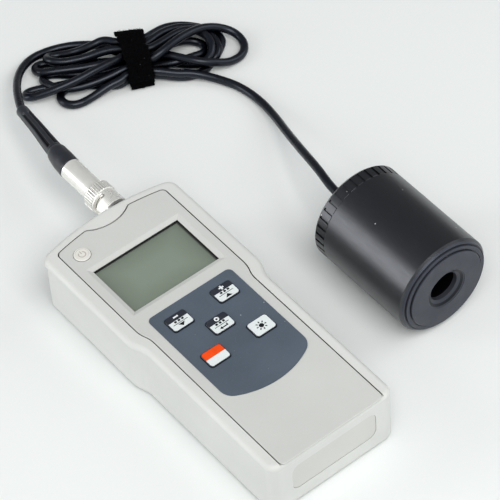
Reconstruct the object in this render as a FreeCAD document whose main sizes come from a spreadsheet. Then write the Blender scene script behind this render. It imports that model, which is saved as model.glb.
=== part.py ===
import FreeCAD, Part
import math
import os

import Sketcher
from FreeCAD import Placement, Rotation, Vector

# A hand-held light meter with its sensor head on a lead, lying on its back on a table.
# Millimetres. Origin: middle of the meter's back face. +X right of the display,
# +Y towards the connector end, +Z out of the display.

doc = FreeCAD.newDocument("light_meter")
sheet = doc.addObject("Spreadsheet::Sheet", "Sizes")

SIZES = {
    # case
    "case_length": 161.3,
    "head_width": 72.4,
    "handle_width": 66.0,
    "case_depth": 32.0,
    "crown_radius": 130.0,
    "shoulder_low": 4.6,
    "shoulder_high": 11.6,
    "shoulder_radius": 15.0,
    "top_corner_radius": 6.0,
    "end_corner_radius": 5.0,
    "back_edge_radius": 4.0,
    "wall": 2.2,
    "floor": 2.4,
    "split_level": 28.6,
    "rim_overhang": 0.8,
    "rim_drop": 0.2,
    "rim_radius": 2.4,
    "ledge": 1.6,
    # front cover
    "cover_head_width": 58.4,
    "cover_handle_width": 54.4,
    "cover_top": 75.7,
    "cover_crown_radius": 125.0,
    "cover_shoulder_low": 7.5,
    "cover_shoulder_high": 13.0,
    "cover_shoulder_radius": 14.0,
    "cover_corner_radius": 2.5,
    "notch_width": 23.5,
    "notch_radius": 19.65,
    "notch_corner_radius": 1.5,
    "cover_gap": 0.5,
    "cover_thickness": 2.3,
    "cover_lip": 0.8,
    "end_bar": 2.2,
    "post_radius": 2.1,
    # display
    "window_width": 46.0,
    "window_low": 24.7,
    "window_high": 54.6,
    "ramp_width": 2.2,
    "ramp_depth": 0.9,
    "glass_recess": 1.3,
    "glass_thickness": 1.2,
    "glass_margin": 1.2,
    "lcd_width": 50.0,
    "lcd_margin": 4.0,
    "lcd_thickness": 1.6,
    "gasket_thickness": 0.5,
    # keypad
    "keypad_width": 45.0,
    "keypad_top": 16.8,
    "keypad_bottom": -37.75,
    "keypad_bottom_radius": 39.0,
    "keypad_corner_radius": 7.0,
    "keypad_top_radius": 2.5,
    "keypad_thickness": 0.3,
    "key_width": 10.7,
    "key_height": 8.8,
    "key_corner_radius": 1.3,
    "key_pitch_x": 12.37,
    "key_pitch_y": 12.58,
    "key_middle": -5.42,
    "key_rise": 1.0,
    "key_clearance": 0.2,
    "key_flange": 1.0,
    "key_flange_thickness": 0.7,
    "power_radius": 3.85,
    "power_x": -21.2,
    "power_y": 64.95,
    "power_rise": 0.6,
    "switch_width": 6.0,
    "switch_depth": 1.8,
    "plunger_radius": 1.6,
    "plunger_depth": 0.8,
    # board
    "board_top": 25.6,
    "board_thickness": 1.6,
    # battery bay and door
    "bay_width": 45.0,
    "bay_low": -74.2,
    "bay_high": -24.2,
    "bay_top": 12.9,
    "bay_wall": 1.6,
    "door_width": 45.0,
    "door_high": -22.0,
    "door_thickness": 1.7,
    "door_tongue": 1.0,
    "door_clearance": 0.1,
    "cell_radius": 5.2,
    "cell_length": 43.3,
    "cell_pitch": 11.1,
    "cell_nub_radius": 1.9,
    "cell_nub": 1.0,
    "contact_thickness": 0.4,
    # end plate
    "plate_width": 45.0,
    "plate_low": 10.2,
    "plate_high": 25.6,
    "plate_corner_radius": 4.0,
    "plate_recess": 0.8,
    "plate_thickness": 0.6,
    # screws
    "screw_radius": 1.3,
    "screw_head_radius": 2.4,
    "screw_seat": 12.0,
    "boss_radius": 4.0,
    # connector
    "socket_x": 9.5,
    "socket_level": 23.0,
    "socket_seat": 80.9,
    "thread_radius": 4.75,
    "socket_radius": 4.8,
    "socket_bore": 3.3,
    "socket_end": 92.0,
    "flange_radius": 7.2,
    "flange_thickness": 1.3,
    "lug_radius": 1.0,
    "lug_reach": 5.6,
    "lug_station": 89.4,
    "lug_angle": 108.0,
    "nut_start": 82.5,
    "knurl_start": 91.7,
    "nut_end": 97.3,
    "nut_bore": 5.0,
    "nut_radius": 6.7,
    "knurl_radius": 7.1,
    "knurl_grooves": 36,
    "nut_neck": 4.1,
    "slot_turn": 72.0,
    "sleeve_radius": 5.3,
    "sleeve_end": 116.7,
    # lead
    "lead_radius": 2.0,
    "hank_top": 10.5,
    "tie_width": 12.0,
    "tie_thickness": 1.6,
    "tie_span": 22.0,
    "tie_x": 82.5,
    "tie_y": 166.4,
    "tie_angle": -24.0,
    # sensor head
    "sensor_x": 89.5,
    "sensor_radius": 24.2,
    "barrel_bore": 21.6,
    "barrel_front": -46.05,
    "barrel_rear": 5.1,
    "cap_rear": 12.2,
    "cap_grooves": 36,
    "groove_width": 1.3,
    "groove_depth": 0.7,
    "groove_length": 5.6,
    "face_front": -48.75,
    "aperture_radius": 7.4,
    "aperture_rim_radius": 10.3,
    "board_seat": -8.6,
    "gland_end": 18.2,
}

for row, (alias, number) in enumerate(SIZES.items(), start=1):
    sheet.set(f"A{row}", alias)
    sheet.set(f"B{row}", str(number))
    sheet.setAlias(f"B{row}", alias)
doc.recompute()


class Size:
    """A length that keeps both its number and the expression that gives it."""

    def __init__(self, value, text):
        self.value = float(value)
        self.text = text

    @staticmethod
    def of(thing):
        return thing if isinstance(thing, Size) else Size(thing, repr(float(thing)))

    def combine(self, other, sign, value):
        return Size(value, f"({self.text} {sign} {other.text})")

    def __add__(self, other):
        other = Size.of(other)
        return self.combine(other, "+", self.value + other.value)

    def __radd__(self, other):
        return Size.of(other) + self

    def __sub__(self, other):
        other = Size.of(other)
        return self.combine(other, "-", self.value - other.value)

    def __rsub__(self, other):
        return Size.of(other) - self

    def __mul__(self, other):
        other = Size.of(other)
        return self.combine(other, "*", self.value * other.value)

    def __rmul__(self, other):
        return Size.of(other) * self

    def __truediv__(self, other):
        other = Size.of(other)
        return self.combine(other, "/", self.value / other.value)

    def __neg__(self):
        return Size.of(0) - self


class SheetSizes:
    """Gives each cell of the sheet as a Size under its alias."""

    def __getattr__(self, alias):
        return Size(sheet.get(alias), f"Sizes.{alias}")


def root(size):
    return Size(math.sqrt(size.value), f"sqrt({size.text})")


s = SheetSizes()
nodes = []


# ---------------------------------------------------------------- helpers

def bind(thing, name, size):
    """Gives a property its size: as an expression where it comes from the sheet or the name is a path."""
    size = Size.of(size)
    if "Sizes." in size.text or "." in name:
        thing.setExpression(name, size.text)
    else:
        setattr(thing, name, size.value)


def move(thing, x=0, y=0, z=0, rotation=None):
    """Places a thing, with its base bound to the sheet."""
    numbers = [Size.of(part) for part in (x, y, z)]
    turn = rotation if rotation else Rotation()
    thing.Placement = Placement(Vector(*[part.value for part in numbers]), turn)
    for letter, part in zip("xyz", numbers):
        if "Sizes." in part.text:
            thing.setExpression(f"Placement.Base.{letter}", part.text)
    return thing


def keep(thing, label):
    """Names a finished sub-part; its label is its file's name."""
    thing.Label = label
    nodes.append(thing)
    return thing


def fail_if_broken(things):
    for thing in things:
        if "Invalid" in thing.State or "Error" in thing.State:
            raise RuntimeError(f"{thing.Label} failed: {thing.State}")


def box(low, high):
    """A Part::Box from its lowest to its highest corner."""
    low = [Size.of(part) for part in low]
    high = [Size.of(part) for part in high]
    thing = doc.addObject("Part::Box", "Block")
    for name, start, stop in zip(("Length", "Width", "Height"), low, high):
        bind(thing, name, stop - start)
    return move(thing, *low)


TURNS = {
    "+X": Rotation(Vector(0, 1, 0), 90),
    "+Y": Rotation(Vector(1, 0, 0), -90),
    "+Z": Rotation(),
}


def cylinder(radius, start, length, direction="+Z"):
    """A Part::Cylinder from a start point along an axis."""
    thing = doc.addObject("Part::Cylinder", "Round")
    bind(thing, "Radius", radius)
    bind(thing, "Height", length)
    return move(thing, *start, rotation=TURNS[direction])


def fuse(things):
    thing = doc.addObject("Part::MultiFuse", "Joined")
    thing.Shapes = things
    return thing


def cut(base, tools):
    thing = doc.addObject("Part::Cut", "Trimmed")
    thing.Base = base
    thing.Tool = tools[0] if len(tools) == 1 else fuse(tools)
    return thing


def common(first, second):
    thing = doc.addObject("Part::MultiCommon", "Shared")
    thing.Shapes = [first, second]
    return thing


def group(things):
    """Separate solids that share one node."""
    thing = doc.addObject("Part::Compound", "Group")
    thing.Links = things
    return thing


def shaped(shape, name="Shaped"):
    """A Part::Feature for a form that no sketch or primitive gives."""
    thing = doc.addObject("Part::Feature", name)
    thing.Shape = shape
    return thing


def new_body():
    return doc.addObject("PartDesign::Body", "Body")


def new_sketch(body, role="XY_Plane", offset=0):
    """A sketch on one of the body's own origin planes, moved along its normal."""
    plane = next(item for item in body.Origin.OriginFeatures if item.Role == role)
    sketch = body.newObject("Sketcher::SketchObject", "Sketch")
    sketch.AttachmentSupport = [(plane, "")]
    sketch.MapMode = "FlatFace"
    offset = Size.of(offset)
    sketch.AttachmentOffset = Placement(Vector(0, 0, offset.value), Rotation())
    if "Sizes." in offset.text:
        sketch.setExpression("AttachmentOffset.Base.z", offset.text)
    return sketch


def hold(sketch, kind, *arguments):
    """Adds a constraint whose last argument is a Size."""
    size = Size.of(arguments[-1])
    index = sketch.addConstraint(Sketcher.Constraint(kind, *arguments[:-1], size.value))
    if "Sizes." in size.text:
        sketch.setExpression(f"Constraints[{index}]", size.text)


def arc_through(start, end, radius, outward):
    """An arc that bulges to the right of the way travelled, or to the left."""
    chord = end - start
    half = chord.Length / 2
    rise = radius - math.sqrt(radius ** 2 - half ** 2)
    side = Vector(chord.y, -chord.x, 0).normalize() * (rise if outward else -rise)
    return Part.Arc(start, (start + end) / 2 + side, end)


def outline(sketch, corners):
    """A closed loop. A corner is (x, y), or (x, y, radius, outward) before an arc."""
    points = [Vector(Size.of(c[0]).value, Size.of(c[1]).value, 0) for c in corners]
    starts = []
    ends = []
    for index, corner in enumerate(corners):
        start = points[index]
        end = points[(index + 1) % len(points)]
        if len(corner) == 2:
            edge = sketch.addGeometry(Part.LineSegment(start, end))
            flipped = False
        else:
            radius = Size.of(corner[2])
            edge = sketch.addGeometry(arc_through(start, end, radius.value, corner[3]))
            # a sketch counts every arc anticlockwise
            flipped = not corner[3]
            hold(sketch, "Radius", edge, radius)
        starts.append((edge, 2 if flipped else 1))
        ends.append((edge, 1 if flipped else 2))
    for index, corner in enumerate(corners):
        sketch.addConstraint(Sketcher.Constraint("Coincident", *ends[index - 1], *starts[index]))
        hold(sketch, "DistanceX", -1, 1, *starts[index], corner[0])
        hold(sketch, "DistanceY", -1, 1, *starts[index], corner[1])
    return sketch


def rectangle(sketch, low, high):
    return outline(sketch, [(low[0], low[1]), (high[0], low[1]), (high[0], high[1]), (low[0], high[1])])


def circle(sketch, x, y, radius):
    x, y, radius = Size.of(x), Size.of(y), Size.of(radius)
    edge = sketch.addGeometry(Part.Circle(Vector(x.value, y.value, 0), Vector(0, 0, 1), radius.value))
    hold(sketch, "Radius", edge, radius)
    hold(sketch, "DistanceX", -1, 1, edge, 3, x)
    hold(sketch, "DistanceY", -1, 1, edge, 3, y)
    return sketch


def pad(body, sketch, length):
    feature = body.newObject("PartDesign::Pad", "Pad")
    feature.Profile = sketch
    bind(feature, "Length", length)
    doc.recompute()
    fail_if_broken([sketch, feature])
    return feature


def pocket(body, sketch, length):
    """Cuts against the sketch's normal, and proves that something went."""
    before = body.Shape.Volume
    feature = body.newObject("PartDesign::Pocket", "Pocket")
    feature.Profile = sketch
    bind(feature, "Length", length)
    doc.recompute()
    fail_if_broken([sketch, feature])
    if body.Shape.Volume > before - 1e-6:
        raise RuntimeError(f"{body.Label}: a pocket cut nothing")
    return feature


def revolve(body, sketch):
    """Turns a profile about the sketch's horizontal axis."""
    feature = body.newObject("PartDesign::Revolution", "Revolution")
    feature.Profile = sketch
    feature.ReferenceAxis = (sketch, ["H_Axis"])
    feature.Angle = 360
    doc.recompute()
    fail_if_broken([sketch, feature])
    return feature


def polar(body, feature, count):
    """Repeats a feature about the body's Y axis."""
    axis = next(item for item in body.Origin.OriginFeatures if item.Role == "Y_Axis")
    pattern = body.newObject("PartDesign::PolarPattern", "Pattern")
    pattern.Originals = [feature]
    pattern.Axis = (axis, [""])
    pattern.Angle = 360
    pattern.setExpression("Occurrences", count.text)
    body.Tip = pattern
    doc.recompute()
    fail_if_broken([pattern])
    return pattern


def round_edges(body, radius, wanted):
    """Fillets the edges of the body's tip that pass a test."""
    base = body.Tip
    names = [f"Edge{n}" for n, edge in enumerate(base.Shape.Edges, start=1) if wanted(edge)]
    if not names:
        raise RuntimeError(f"{body.Label}: no edges to round")
    feature = body.newObject("PartDesign::Fillet", "Fillet")
    feature.Base = (base, names)
    bind(feature, "Radius", radius)
    doc.recompute()
    fail_if_broken([feature])
    return feature


def upright_at(places, low=-1e9, high=1e9):
    """Picks straight upright edges that stand at the given places."""
    spots = [(Size.of(x).value, Size.of(y).value) for x, y in places]

    def wanted(edge):
        if edge.Curve.TypeId != "Part::GeomLine" or len(edge.Vertexes) != 2:
            return False
        first, last = edge.Vertexes[0].Point, edge.Vertexes[1].Point
        upright = abs(first.x - last.x) < 1e-4 and abs(first.y - last.y) < 1e-4
        near = any(abs(first.x - x) < 0.02 and abs(first.y - y) < 0.02 for x, y in spots)
        inside = low - 1e-4 <= min(first.z, last.z) and max(first.z, last.z) <= high + 1e-4
        return upright and near and inside

    return wanted


def level_at(height):
    """Picks the edges that lie flat at one height."""
    number = Size.of(height).value
    return lambda edge: all(abs(vertex.Z - number) < 1e-4 for vertex in edge.Vertexes)


def turned(profile, x=0, z=0):
    """A body of revolution about an axis along Y; the profile is a list of (y, radius)."""
    body = new_body()
    revolve(body, outline(new_sketch(body, "YZ_Plane"), profile))
    return move(body, x, 0, z)


def ring_profile(start, stop, inner, outer):
    return [(start, inner), (stop, inner), (stop, outer), (start, outer)]


# ---------------------------------------------------------------- case

def sagitta(radius, half):
    """How far an arc drops from its crown over half a chord."""
    return radius - root(radius * radius - half * half)


def case_corners(head_inset, handle_inset, end_inset):
    """The case seen from the front: narrow handle, wide head, crowned top."""
    head = s.head_width / 2 - head_inset
    handle = s.handle_width / 2 - handle_inset
    end = -s.case_length / 2 + end_inset
    crown = s.crown_radius - head_inset
    side_top = s.case_length / 2 - head_inset - sagitta(crown, head)
    return [
        (handle, end),
        (handle, s.shoulder_low),
        (head, s.shoulder_high),
        (head, side_top, crown, True),
        (-head, side_top),
        (-head, s.shoulder_high),
        (-handle, s.shoulder_low),
        (-handle, end),
    ]


def case_block(head_inset, handle_inset, end_inset, low, high):
    """The case outline raised between two levels, with its upright edges rounded."""
    body = new_body()
    corners = case_corners(head_inset, handle_inset, end_inset)
    pad(body, outline(new_sketch(body, offset=low), corners), Size.of(high) - low)
    spots = [corner[:2] for corner in corners]
    round_edges(body, s.shoulder_radius, upright_at(spots[1:3] + spots[5:7]))
    round_edges(body, s.top_corner_radius - head_inset, upright_at(spots[3:5]))
    round_edges(body, s.end_corner_radius - end_inset, upright_at([spots[0], spots[7]]))
    return body


def shell_block():
    body = case_block(s.rim_overhang, 0, 0, 0, s.split_level)
    round_edges(body, s.back_edge_radius, level_at(0))
    return body


def door_slot(clearance):
    """The door's space in the shell's floor: a plate with a tongue along each side."""
    half = s.door_width / 2 + clearance
    end = -s.case_length / 2 - 1
    top = s.door_thickness + clearance
    plate = box((-half, end, -1), (half, s.door_high + clearance, top))
    reach = half + s.door_tongue
    tongue = box((-reach, end, 0.8 - clearance), (reach, s.door_high - 2 + clearance, 1.6 + clearance))
    return [plate, tongue]


SCREWS = [(-27.4, -70.0), (27.4, -70.0), (-29.0, 65.0), (29.0, 65.0)]
SCREW_TOP = 24.2


def rear_shell():
    cavity = case_block(s.wall + s.rim_overhang, s.wall, s.wall, s.floor, s.split_level + 1)
    hollow = cut(shell_block(), [cavity])
    adds = [hollow]
    bay = s.bay_width / 2 + s.bay_wall
    bay_top = s.bay_top + s.bay_wall
    adds.append(box((-bay, s.bay_low - s.bay_wall, 1), (bay, s.bay_high + s.bay_wall, bay_top)))
    inside = case_block(s.rim_overhang + 0.6, 0.6, 0.6, 1, s.split_level)
    for x, y in SCREWS:
        adds.append(common(inside, cylinder(s.boss_radius, (x, y, 1), SCREW_TOP - 1 - 0.2)))
    seat = cylinder(s.flange_radius + 0.4, (s.socket_x, s.socket_seat - 4.4, s.socket_level), 4.4, "+Y")
    below_split = box((-20, 60, 5), (40, 100, s.split_level))
    adds.append(common(seat, below_split))
    cuts = door_slot(s.door_clearance)
    half = s.bay_width / 2
    cuts.append(box((-half, s.bay_low, 1), (half, s.bay_high, s.bay_top)))
    for x, y in SCREWS:
        cuts.append(cylinder(s.screw_head_radius + 0.4, (x, y, -1), s.screw_seat + 1))
        cuts.append(cylinder(s.screw_radius + 0.2, (x, y, 5), SCREW_TOP))
    thread = (s.socket_x, s.socket_seat - 12, s.socket_level)
    cuts.append(cylinder(s.thread_radius + 0.05, thread, 14, "+Y"))
    cuts.append(plate_block(s.plate_recess, 0))
    return keep(cut(fuse(adds), cuts), "rear_shell")


def plate_block(depth, margin):
    """A rounded plate let into the end face."""
    body = new_body()
    half = s.plate_width / 2 - margin
    end = s.case_length / 2 - depth
    sketch = new_sketch(body, "XZ_Plane", end)
    rectangle(sketch, (-half, s.plate_low + margin), (half, s.plate_high - margin))
    pad(body, sketch, Size.of(depth) + 1 if margin == 0 else s.plate_thickness)

    def along_y(edge):
        first, last = edge.Vertexes[0].Point, edge.Vertexes[-1].Point
        return abs(first.x - last.x) < 1e-4 and abs(first.z - last.z) < 1e-4

    round_edges(body, s.plate_corner_radius - margin, along_y)
    return body


def end_plate():
    return keep(plate_block(s.plate_recess, 0.15), "end_plate")


def battery_door():
    """Slides out of the end of the case in two grooves."""
    plate, tongue = door_slot(0)
    # the tongues run in the shell's floor, the plate lies flush with the back
    body = common(fuse([plate, tongue]), shell_block())
    grips = [box((-9, y, -1), (9, y + 1.2, 0.5)) for y in (-70.0, -67.0, -64.0, -61.0, -58.0)]
    return keep(cut(body, grips), "battery_door")


def cover_corners(outset, end):
    """The front cover's outline: crowned, with a notch below the connector."""
    head = s.cover_head_width / 2 + outset
    handle = s.cover_handle_width / 2 + outset
    crown = s.cover_crown_radius + outset
    notch = s.notch_width / 2 - outset * 0.7
    top = s.cover_top + outset
    side_top = top - sagitta(crown, head)
    notch_top = top - sagitta(crown, notch)
    return [
        (handle, end),
        (handle, s.cover_shoulder_low),
        (head, s.cover_shoulder_high),
        (head, side_top, crown, True),
        (notch, notch_top, s.notch_radius - outset, False),
        (-notch, notch_top, crown, True),
        (-head, side_top),
        (-head, s.cover_shoulder_high),
        (-handle, s.cover_shoulder_low),
        (-handle, end),
    ]


def round_cover(body, corners, end_radius, low, high):
    spots = [corner[:2] for corner in corners]
    pick = lambda places: upright_at(places, low, high)
    round_edges(body, s.cover_shoulder_radius, pick(spots[1:3] + spots[7:9]))
    round_edges(body, s.cover_corner_radius, pick([spots[3], spots[6]]))
    round_edges(body, s.notch_corner_radius, pick(spots[4:6]))
    if end_radius:
        round_edges(body, end_radius, pick([spots[0], spots[9]]))


def cover_block(outset, end, low, high, end_radius):
    """The front cover's outline raised between two levels."""
    body = new_body()
    corners = cover_corners(outset, end)
    pad(body, outline(new_sketch(body, offset=low), corners), Size.of(high) - low)
    round_cover(body, corners, end_radius, Size.of(low).value, Size.of(high).value)
    return body


def front_frame():
    """The rim around the front cover, with a ledge that carries it and four bosses."""
    rim_top = s.case_depth - s.rim_drop
    rim = case_block(0, 0, 0, s.split_level, rim_top)
    round_edges(rim, s.rim_radius, level_at(rim_top))
    end = -s.case_length / 2
    seat = s.case_depth - s.cover_thickness
    adds = [rim]
    for x, y in SCREWS:
        adds.append(cylinder(3.0, (x, y, SCREW_TOP), s.split_level - SCREW_TOP + 0.5))
    cuts = [
        cover_block(s.cover_gap, end + s.end_bar, seat, s.case_depth + 1, 0),
        cover_block(-s.ledge, end + s.end_bar + s.ledge, s.split_level - 1, seat + 0.5, 0),
    ]
    # room above the socket's nut
    cuts.append(box((s.socket_x - 8, 60, s.split_level - 1), (s.socket_x + 8, 76.8, seat + 0.2)))
    lip = s.cover_handle_width / 2 + s.cover_gap
    lip_level = s.case_depth - s.cover_lip - 0.1
    cuts.append(box((-lip, end - 1, lip_level), (lip, end + s.end_bar + 1, s.case_depth + 1)))
    for x, y in SCREWS:
        cuts.append(cylinder(s.screw_radius, (x, y, SCREW_TOP - 1), 6.5))
    return keep(cut(fuse(adds), cuts), "front_frame")


POSTS = [(-20.0, -66.0), (20.0, -66.0), (-24.6, 16.2), (24.6, 16.2), (22.0, 64.5), (-8.0, 66.5)]
KEYS = {
    "key_down": (-1, 1),
    "key_up": (1, 1),
    "key_enter": (0, 0),
    "key_record": (-1, -1),
    "key_backlight": (1, -1),
}


def key_place(column, line):
    return column * s.key_pitch_x, s.key_middle + line * s.key_pitch_y


def key_block(x, y, grow, low, high, radius):
    """A rounded block centred on a key."""
    body = new_body()
    half_x = s.key_width / 2 + grow
    half_y = s.key_height / 2 + grow
    sketch = rectangle(new_sketch(body, offset=low), (-half_x, -half_y), (half_x, half_y))
    pad(body, sketch, Size.of(high) - low)
    corners = [(-half_x, -half_y), (half_x, -half_y), (half_x, half_y), (-half_x, half_y)]
    round_edges(body, radius, upright_at(corners))
    return move(body, x, y, 0)


def window_ramp():
    """The sloping border of the display opening, from the cover's face down."""
    body = new_body()
    half = s.window_width / 2
    profiles = []
    for grow, level in ((s.ramp_width, s.case_depth), (0, s.case_depth - s.ramp_depth)):
        low = (-half - grow, s.window_low - grow)
        high = (half + grow, s.window_high + grow)
        profiles.append(rectangle(new_sketch(body, offset=level), low, high))
    loft = body.newObject("PartDesign::AdditiveLoft", "Loft")
    loft.Profile = profiles[0]
    loft.Sections = [profiles[1]]
    doc.recompute()
    fail_if_broken([loft])
    return body


def front_cover():
    top = s.case_depth
    seat = top - s.cover_thickness
    end = -s.case_length / 2
    lip = top - s.cover_lip
    skin = cover_block(0, end, lip, top, 2.5)
    round_edges(skin, 0.35, level_at(top))
    back = cover_block(0, end + s.end_bar + 0.3, seat, lip, 0)
    adds = [skin, back]
    for x, y in POSTS:
        adds.append(cylinder(s.post_radius, (x, y, s.board_top), seat - s.board_top + 0.5))
    half = s.window_width / 2
    pane = half + s.glass_margin + 0.2
    pane_top = top - s.glass_recess + 0.1
    margin = s.glass_margin + 0.2
    cuts = [
        window_ramp(),
        box((-half, s.window_low, seat - 1), (half, s.window_high, top + 1)),
        box((-pane, s.window_low - margin, seat - 1), (pane, s.window_high + margin, pane_top)),
    ]
    for column, line in KEYS.values():
        x, y = key_place(column, line)
        cuts.append(key_block(x, y, s.key_clearance, seat - 1, top + 1, s.key_corner_radius + 0.2))
    cuts.append(cylinder(s.power_radius + s.key_clearance, (s.power_x, s.power_y, seat - 1), 5))
    for x, y in POSTS:
        cuts.append(cylinder(0.9, (x, y, s.board_top - 1), 4.6))
    return keep(cut(fuse(adds), cuts), "front_cover")


# ---------------------------------------------------------------- display

def display_stack():
    """Window, gasket, display, edge strips and light guide, from the front inwards."""
    half = s.window_width / 2
    glass_top = s.case_depth - s.glass_recess
    glass_low = glass_top - s.glass_thickness
    pane = half + s.glass_margin
    pane_low = s.window_low - s.glass_margin
    pane_high = s.window_high + s.glass_margin
    window = box((-pane, pane_low, glass_low), (pane, pane_high, glass_top))
    keep(window, "display_window")

    lcd_half = s.lcd_width / 2
    lcd_low = s.window_low - s.lcd_margin
    lcd_high = s.window_high + s.lcd_margin
    lcd_top = glass_low - s.gasket_thickness
    lcd_bottom = lcd_top - s.lcd_thickness
    frame = box((-lcd_half, lcd_low, lcd_top), (lcd_half, lcd_high, glass_low))
    opening = box((-half, s.window_low, lcd_top - 1), (half, s.window_high, glass_low + 1))
    keep(cut(frame, [opening]), "display_gasket")
    keep(box((-lcd_half, lcd_low, lcd_bottom), (lcd_half, lcd_high, lcd_top)), "lcd_panel")

    strips = []
    for start in (lcd_low + 0.4, lcd_high - 2.4):
        strips.append(box((-22, start, s.board_top), (22, start + 2, lcd_bottom)))
    keep(group(strips), "lcd_edge_strips")
    guide = box((-24, s.window_low - 0.5, s.board_top), (24, s.window_high + 0.5, lcd_bottom - 0.1))
    keep(guide, "lcd_backlight")


# ---------------------------------------------------------------- keys

def keypad_overlay():
    body = new_body()
    half = s.keypad_width / 2
    corners = [
        (-half, s.keypad_bottom, s.keypad_bottom_radius, True),
        (half, s.keypad_bottom),
        (half, s.keypad_top),
        (-half, s.keypad_top),
    ]
    pad(body, outline(new_sketch(body, offset=s.case_depth), corners), s.keypad_thickness)
    spots = [corner[:2] for corner in corners]
    round_edges(body, s.keypad_corner_radius, upright_at(spots[:2]))
    round_edges(body, s.keypad_top_radius, upright_at(spots[2:]))
    cuts = []
    for column, line in KEYS.values():
        x, y = key_place(column, line)
        low = s.case_depth - 1
        cuts.append(key_block(x, y, s.key_clearance, low, low + 3, s.key_corner_radius + 0.2))
    return keep(cut(body, cuts), "keypad_overlay")


def key_cap(label, column, line):
    """A key with a flange that keeps it under the cover."""
    x, y = key_place(column, line)
    flange_top = s.case_depth - s.cover_thickness - 0.2
    top = s.case_depth + s.key_rise
    cap = key_block(x, y, 0, flange_top, top, s.key_corner_radius)
    round_edges(cap, 0.4, level_at(top))
    flange = key_block(x, y, s.key_flange, flange_top - s.key_flange_thickness, flange_top, 1.0)
    return keep(fuse([cap, flange]), label)


def power_button():
    """A round button with a shallow dish in its top."""
    body = new_body()
    flange_top = s.case_depth - s.cover_thickness - 0.2
    flange_low = flange_top - s.key_flange_thickness
    top = s.case_depth + s.power_rise
    sketch = new_sketch(body, offset=flange_low)
    pad(body, circle(sketch, 0, 0, s.power_radius + s.key_flange), s.key_flange_thickness)
    pad(body, circle(new_sketch(body, offset=flange_top), 0, 0, s.power_radius), top - flange_top)
    round_edges(body, 0.45, level_at(top))
    pocket(body, circle(new_sketch(body, offset=top), 0, 0, s.power_radius - 0.75), 0.2)
    move(body, s.power_x, s.power_y, 0)
    return keep(body, "power_button")


def key_switches():
    """A small push switch under each key, soldered to the board."""
    places = [key_place(column, line) for column, line in KEYS.values()]
    places.append((s.power_x, s.power_y))
    switches = []
    half = s.switch_width / 2
    top = s.board_top + s.switch_depth
    for x, y in places:
        case = box((x - half, y - half, s.board_top), (x + half, y + half, top))
        plunger = cylinder(s.plunger_radius, (x, y, top), s.plunger_depth)
        switches.append(fuse([case, plunger]))
    return keep(group(switches), "key_switches")


# ---------------------------------------------------------------- board

def main_board():
    """The printed circuit board, cut away beside the connector."""
    body = new_body()
    corners = [
        (-26.5, -73), (26.5, -73), (26.5, 4), (30, 12), (30, 71), (18, 71),
        (18, 60), (1, 60), (1, 71), (-30, 71), (-30, 12), (-26.5, 4),
    ]
    level = s.board_top - s.board_thickness
    pad(body, outline(new_sketch(body, offset=level), corners), s.board_thickness)
    sketch = new_sketch(body, offset=s.board_top)
    for x, y in POSTS:
        circle(sketch, x, y, 1.2)
    for x, y in SCREWS:
        circle(sketch, x, y, 3.4)
    pocket(body, sketch, s.board_thickness)
    return keep(body, "main_board")


def board_parts():
    """Chips, a crystal and a sounder under the board."""
    level = s.board_top - s.board_thickness
    blocks = [
        box((-7, 27, level - 1.6), (7, 41, level)),
        box((-18, 30, level - 1.2), (-12, 38, level)),
        box((12, 6, level - 3.2), (16, 17, level)),
        cylinder(6, (-14, 6, level - 5), 5),
        cylinder(3.2, (17, 44, level - 7), 7),
        box((-16, -8, level - 1.4), (-10, 2, level)),
    ]
    return keep(group(blocks), "board_parts")


def screw(x, y, head_level, head_radius, head_height, radius, length):
    """A pan-head screw that points up, with a cross recess in its head."""
    head = cylinder(head_radius, (x, y, head_level), head_height)
    shank = cylinder(radius, (x, y, head_level), length + Size.of(head_height))
    arms = []
    for arm_x, arm_y in ((1.4, 0.3), (0.3, 1.4)):
        low = (x - arm_x, y - arm_y, Size.of(head_level) - 1)
        arms.append(box(low, (x + arm_x, y + arm_y, Size.of(head_level) + 0.8)))
    return cut(fuse([head, shank]), arms)


def screws():
    case_screws = []
    for x, y in SCREWS:
        height = 1.8
        shank = s.screw_radius - 0.02
        case_screws.append(screw(x, y, s.screw_seat - height, s.screw_head_radius, height, shank, 16.5))
    keep(group(case_screws), "case_screws")
    board_screws = []
    level = s.board_top - s.board_thickness
    for x, y in POSTS:
        board_screws.append(screw(x, y, level - 1.3, 2.0, 1.3, 0.88, 4.9))
    keep(group(board_screws), "board_screws")


# ---------------------------------------------------------------- batteries

CELLS = 4


def batteries():
    """Four small round cells side by side, every other one turned round."""
    cells = []
    springs = []
    plates = []
    level = s.door_thickness + 0.3 + s.cell_radius
    front = s.bay_high - s.contact_thickness
    back = s.bay_low + s.contact_thickness
    for index in range(CELLS):
        x = s.cell_pitch * (index - (CELLS - 1) / 2)
        nub_up = index % 2 == 0
        if nub_up:
            can_start = front - s.cell_nub - s.cell_length
            nub_start = front - s.cell_nub
            spring_start, spring_end = back, can_start
        else:
            nub_start = back
            can_start = back + s.cell_nub
            spring_start, spring_end = can_start + s.cell_length, front
        can = cylinder(s.cell_radius, (x, can_start, level), s.cell_length, "+Y")
        nub = cylinder(s.cell_nub_radius, (x, nub_start, level), s.cell_nub, "+Y")
        cells.append(fuse([can, nub]))
        springs.append(contact_spring(x, spring_start, spring_end, level))
        for start in (s.bay_low, front):
            low = (x - 4.6, start, level - 4)
            plates.append(box(low, (x + 4.6, start + s.contact_thickness, level + 4.6)))
    keep(group(cells), "batteries")
    keep(group(springs), "battery_springs")
    keep(group(plates), "battery_contacts")


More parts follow.
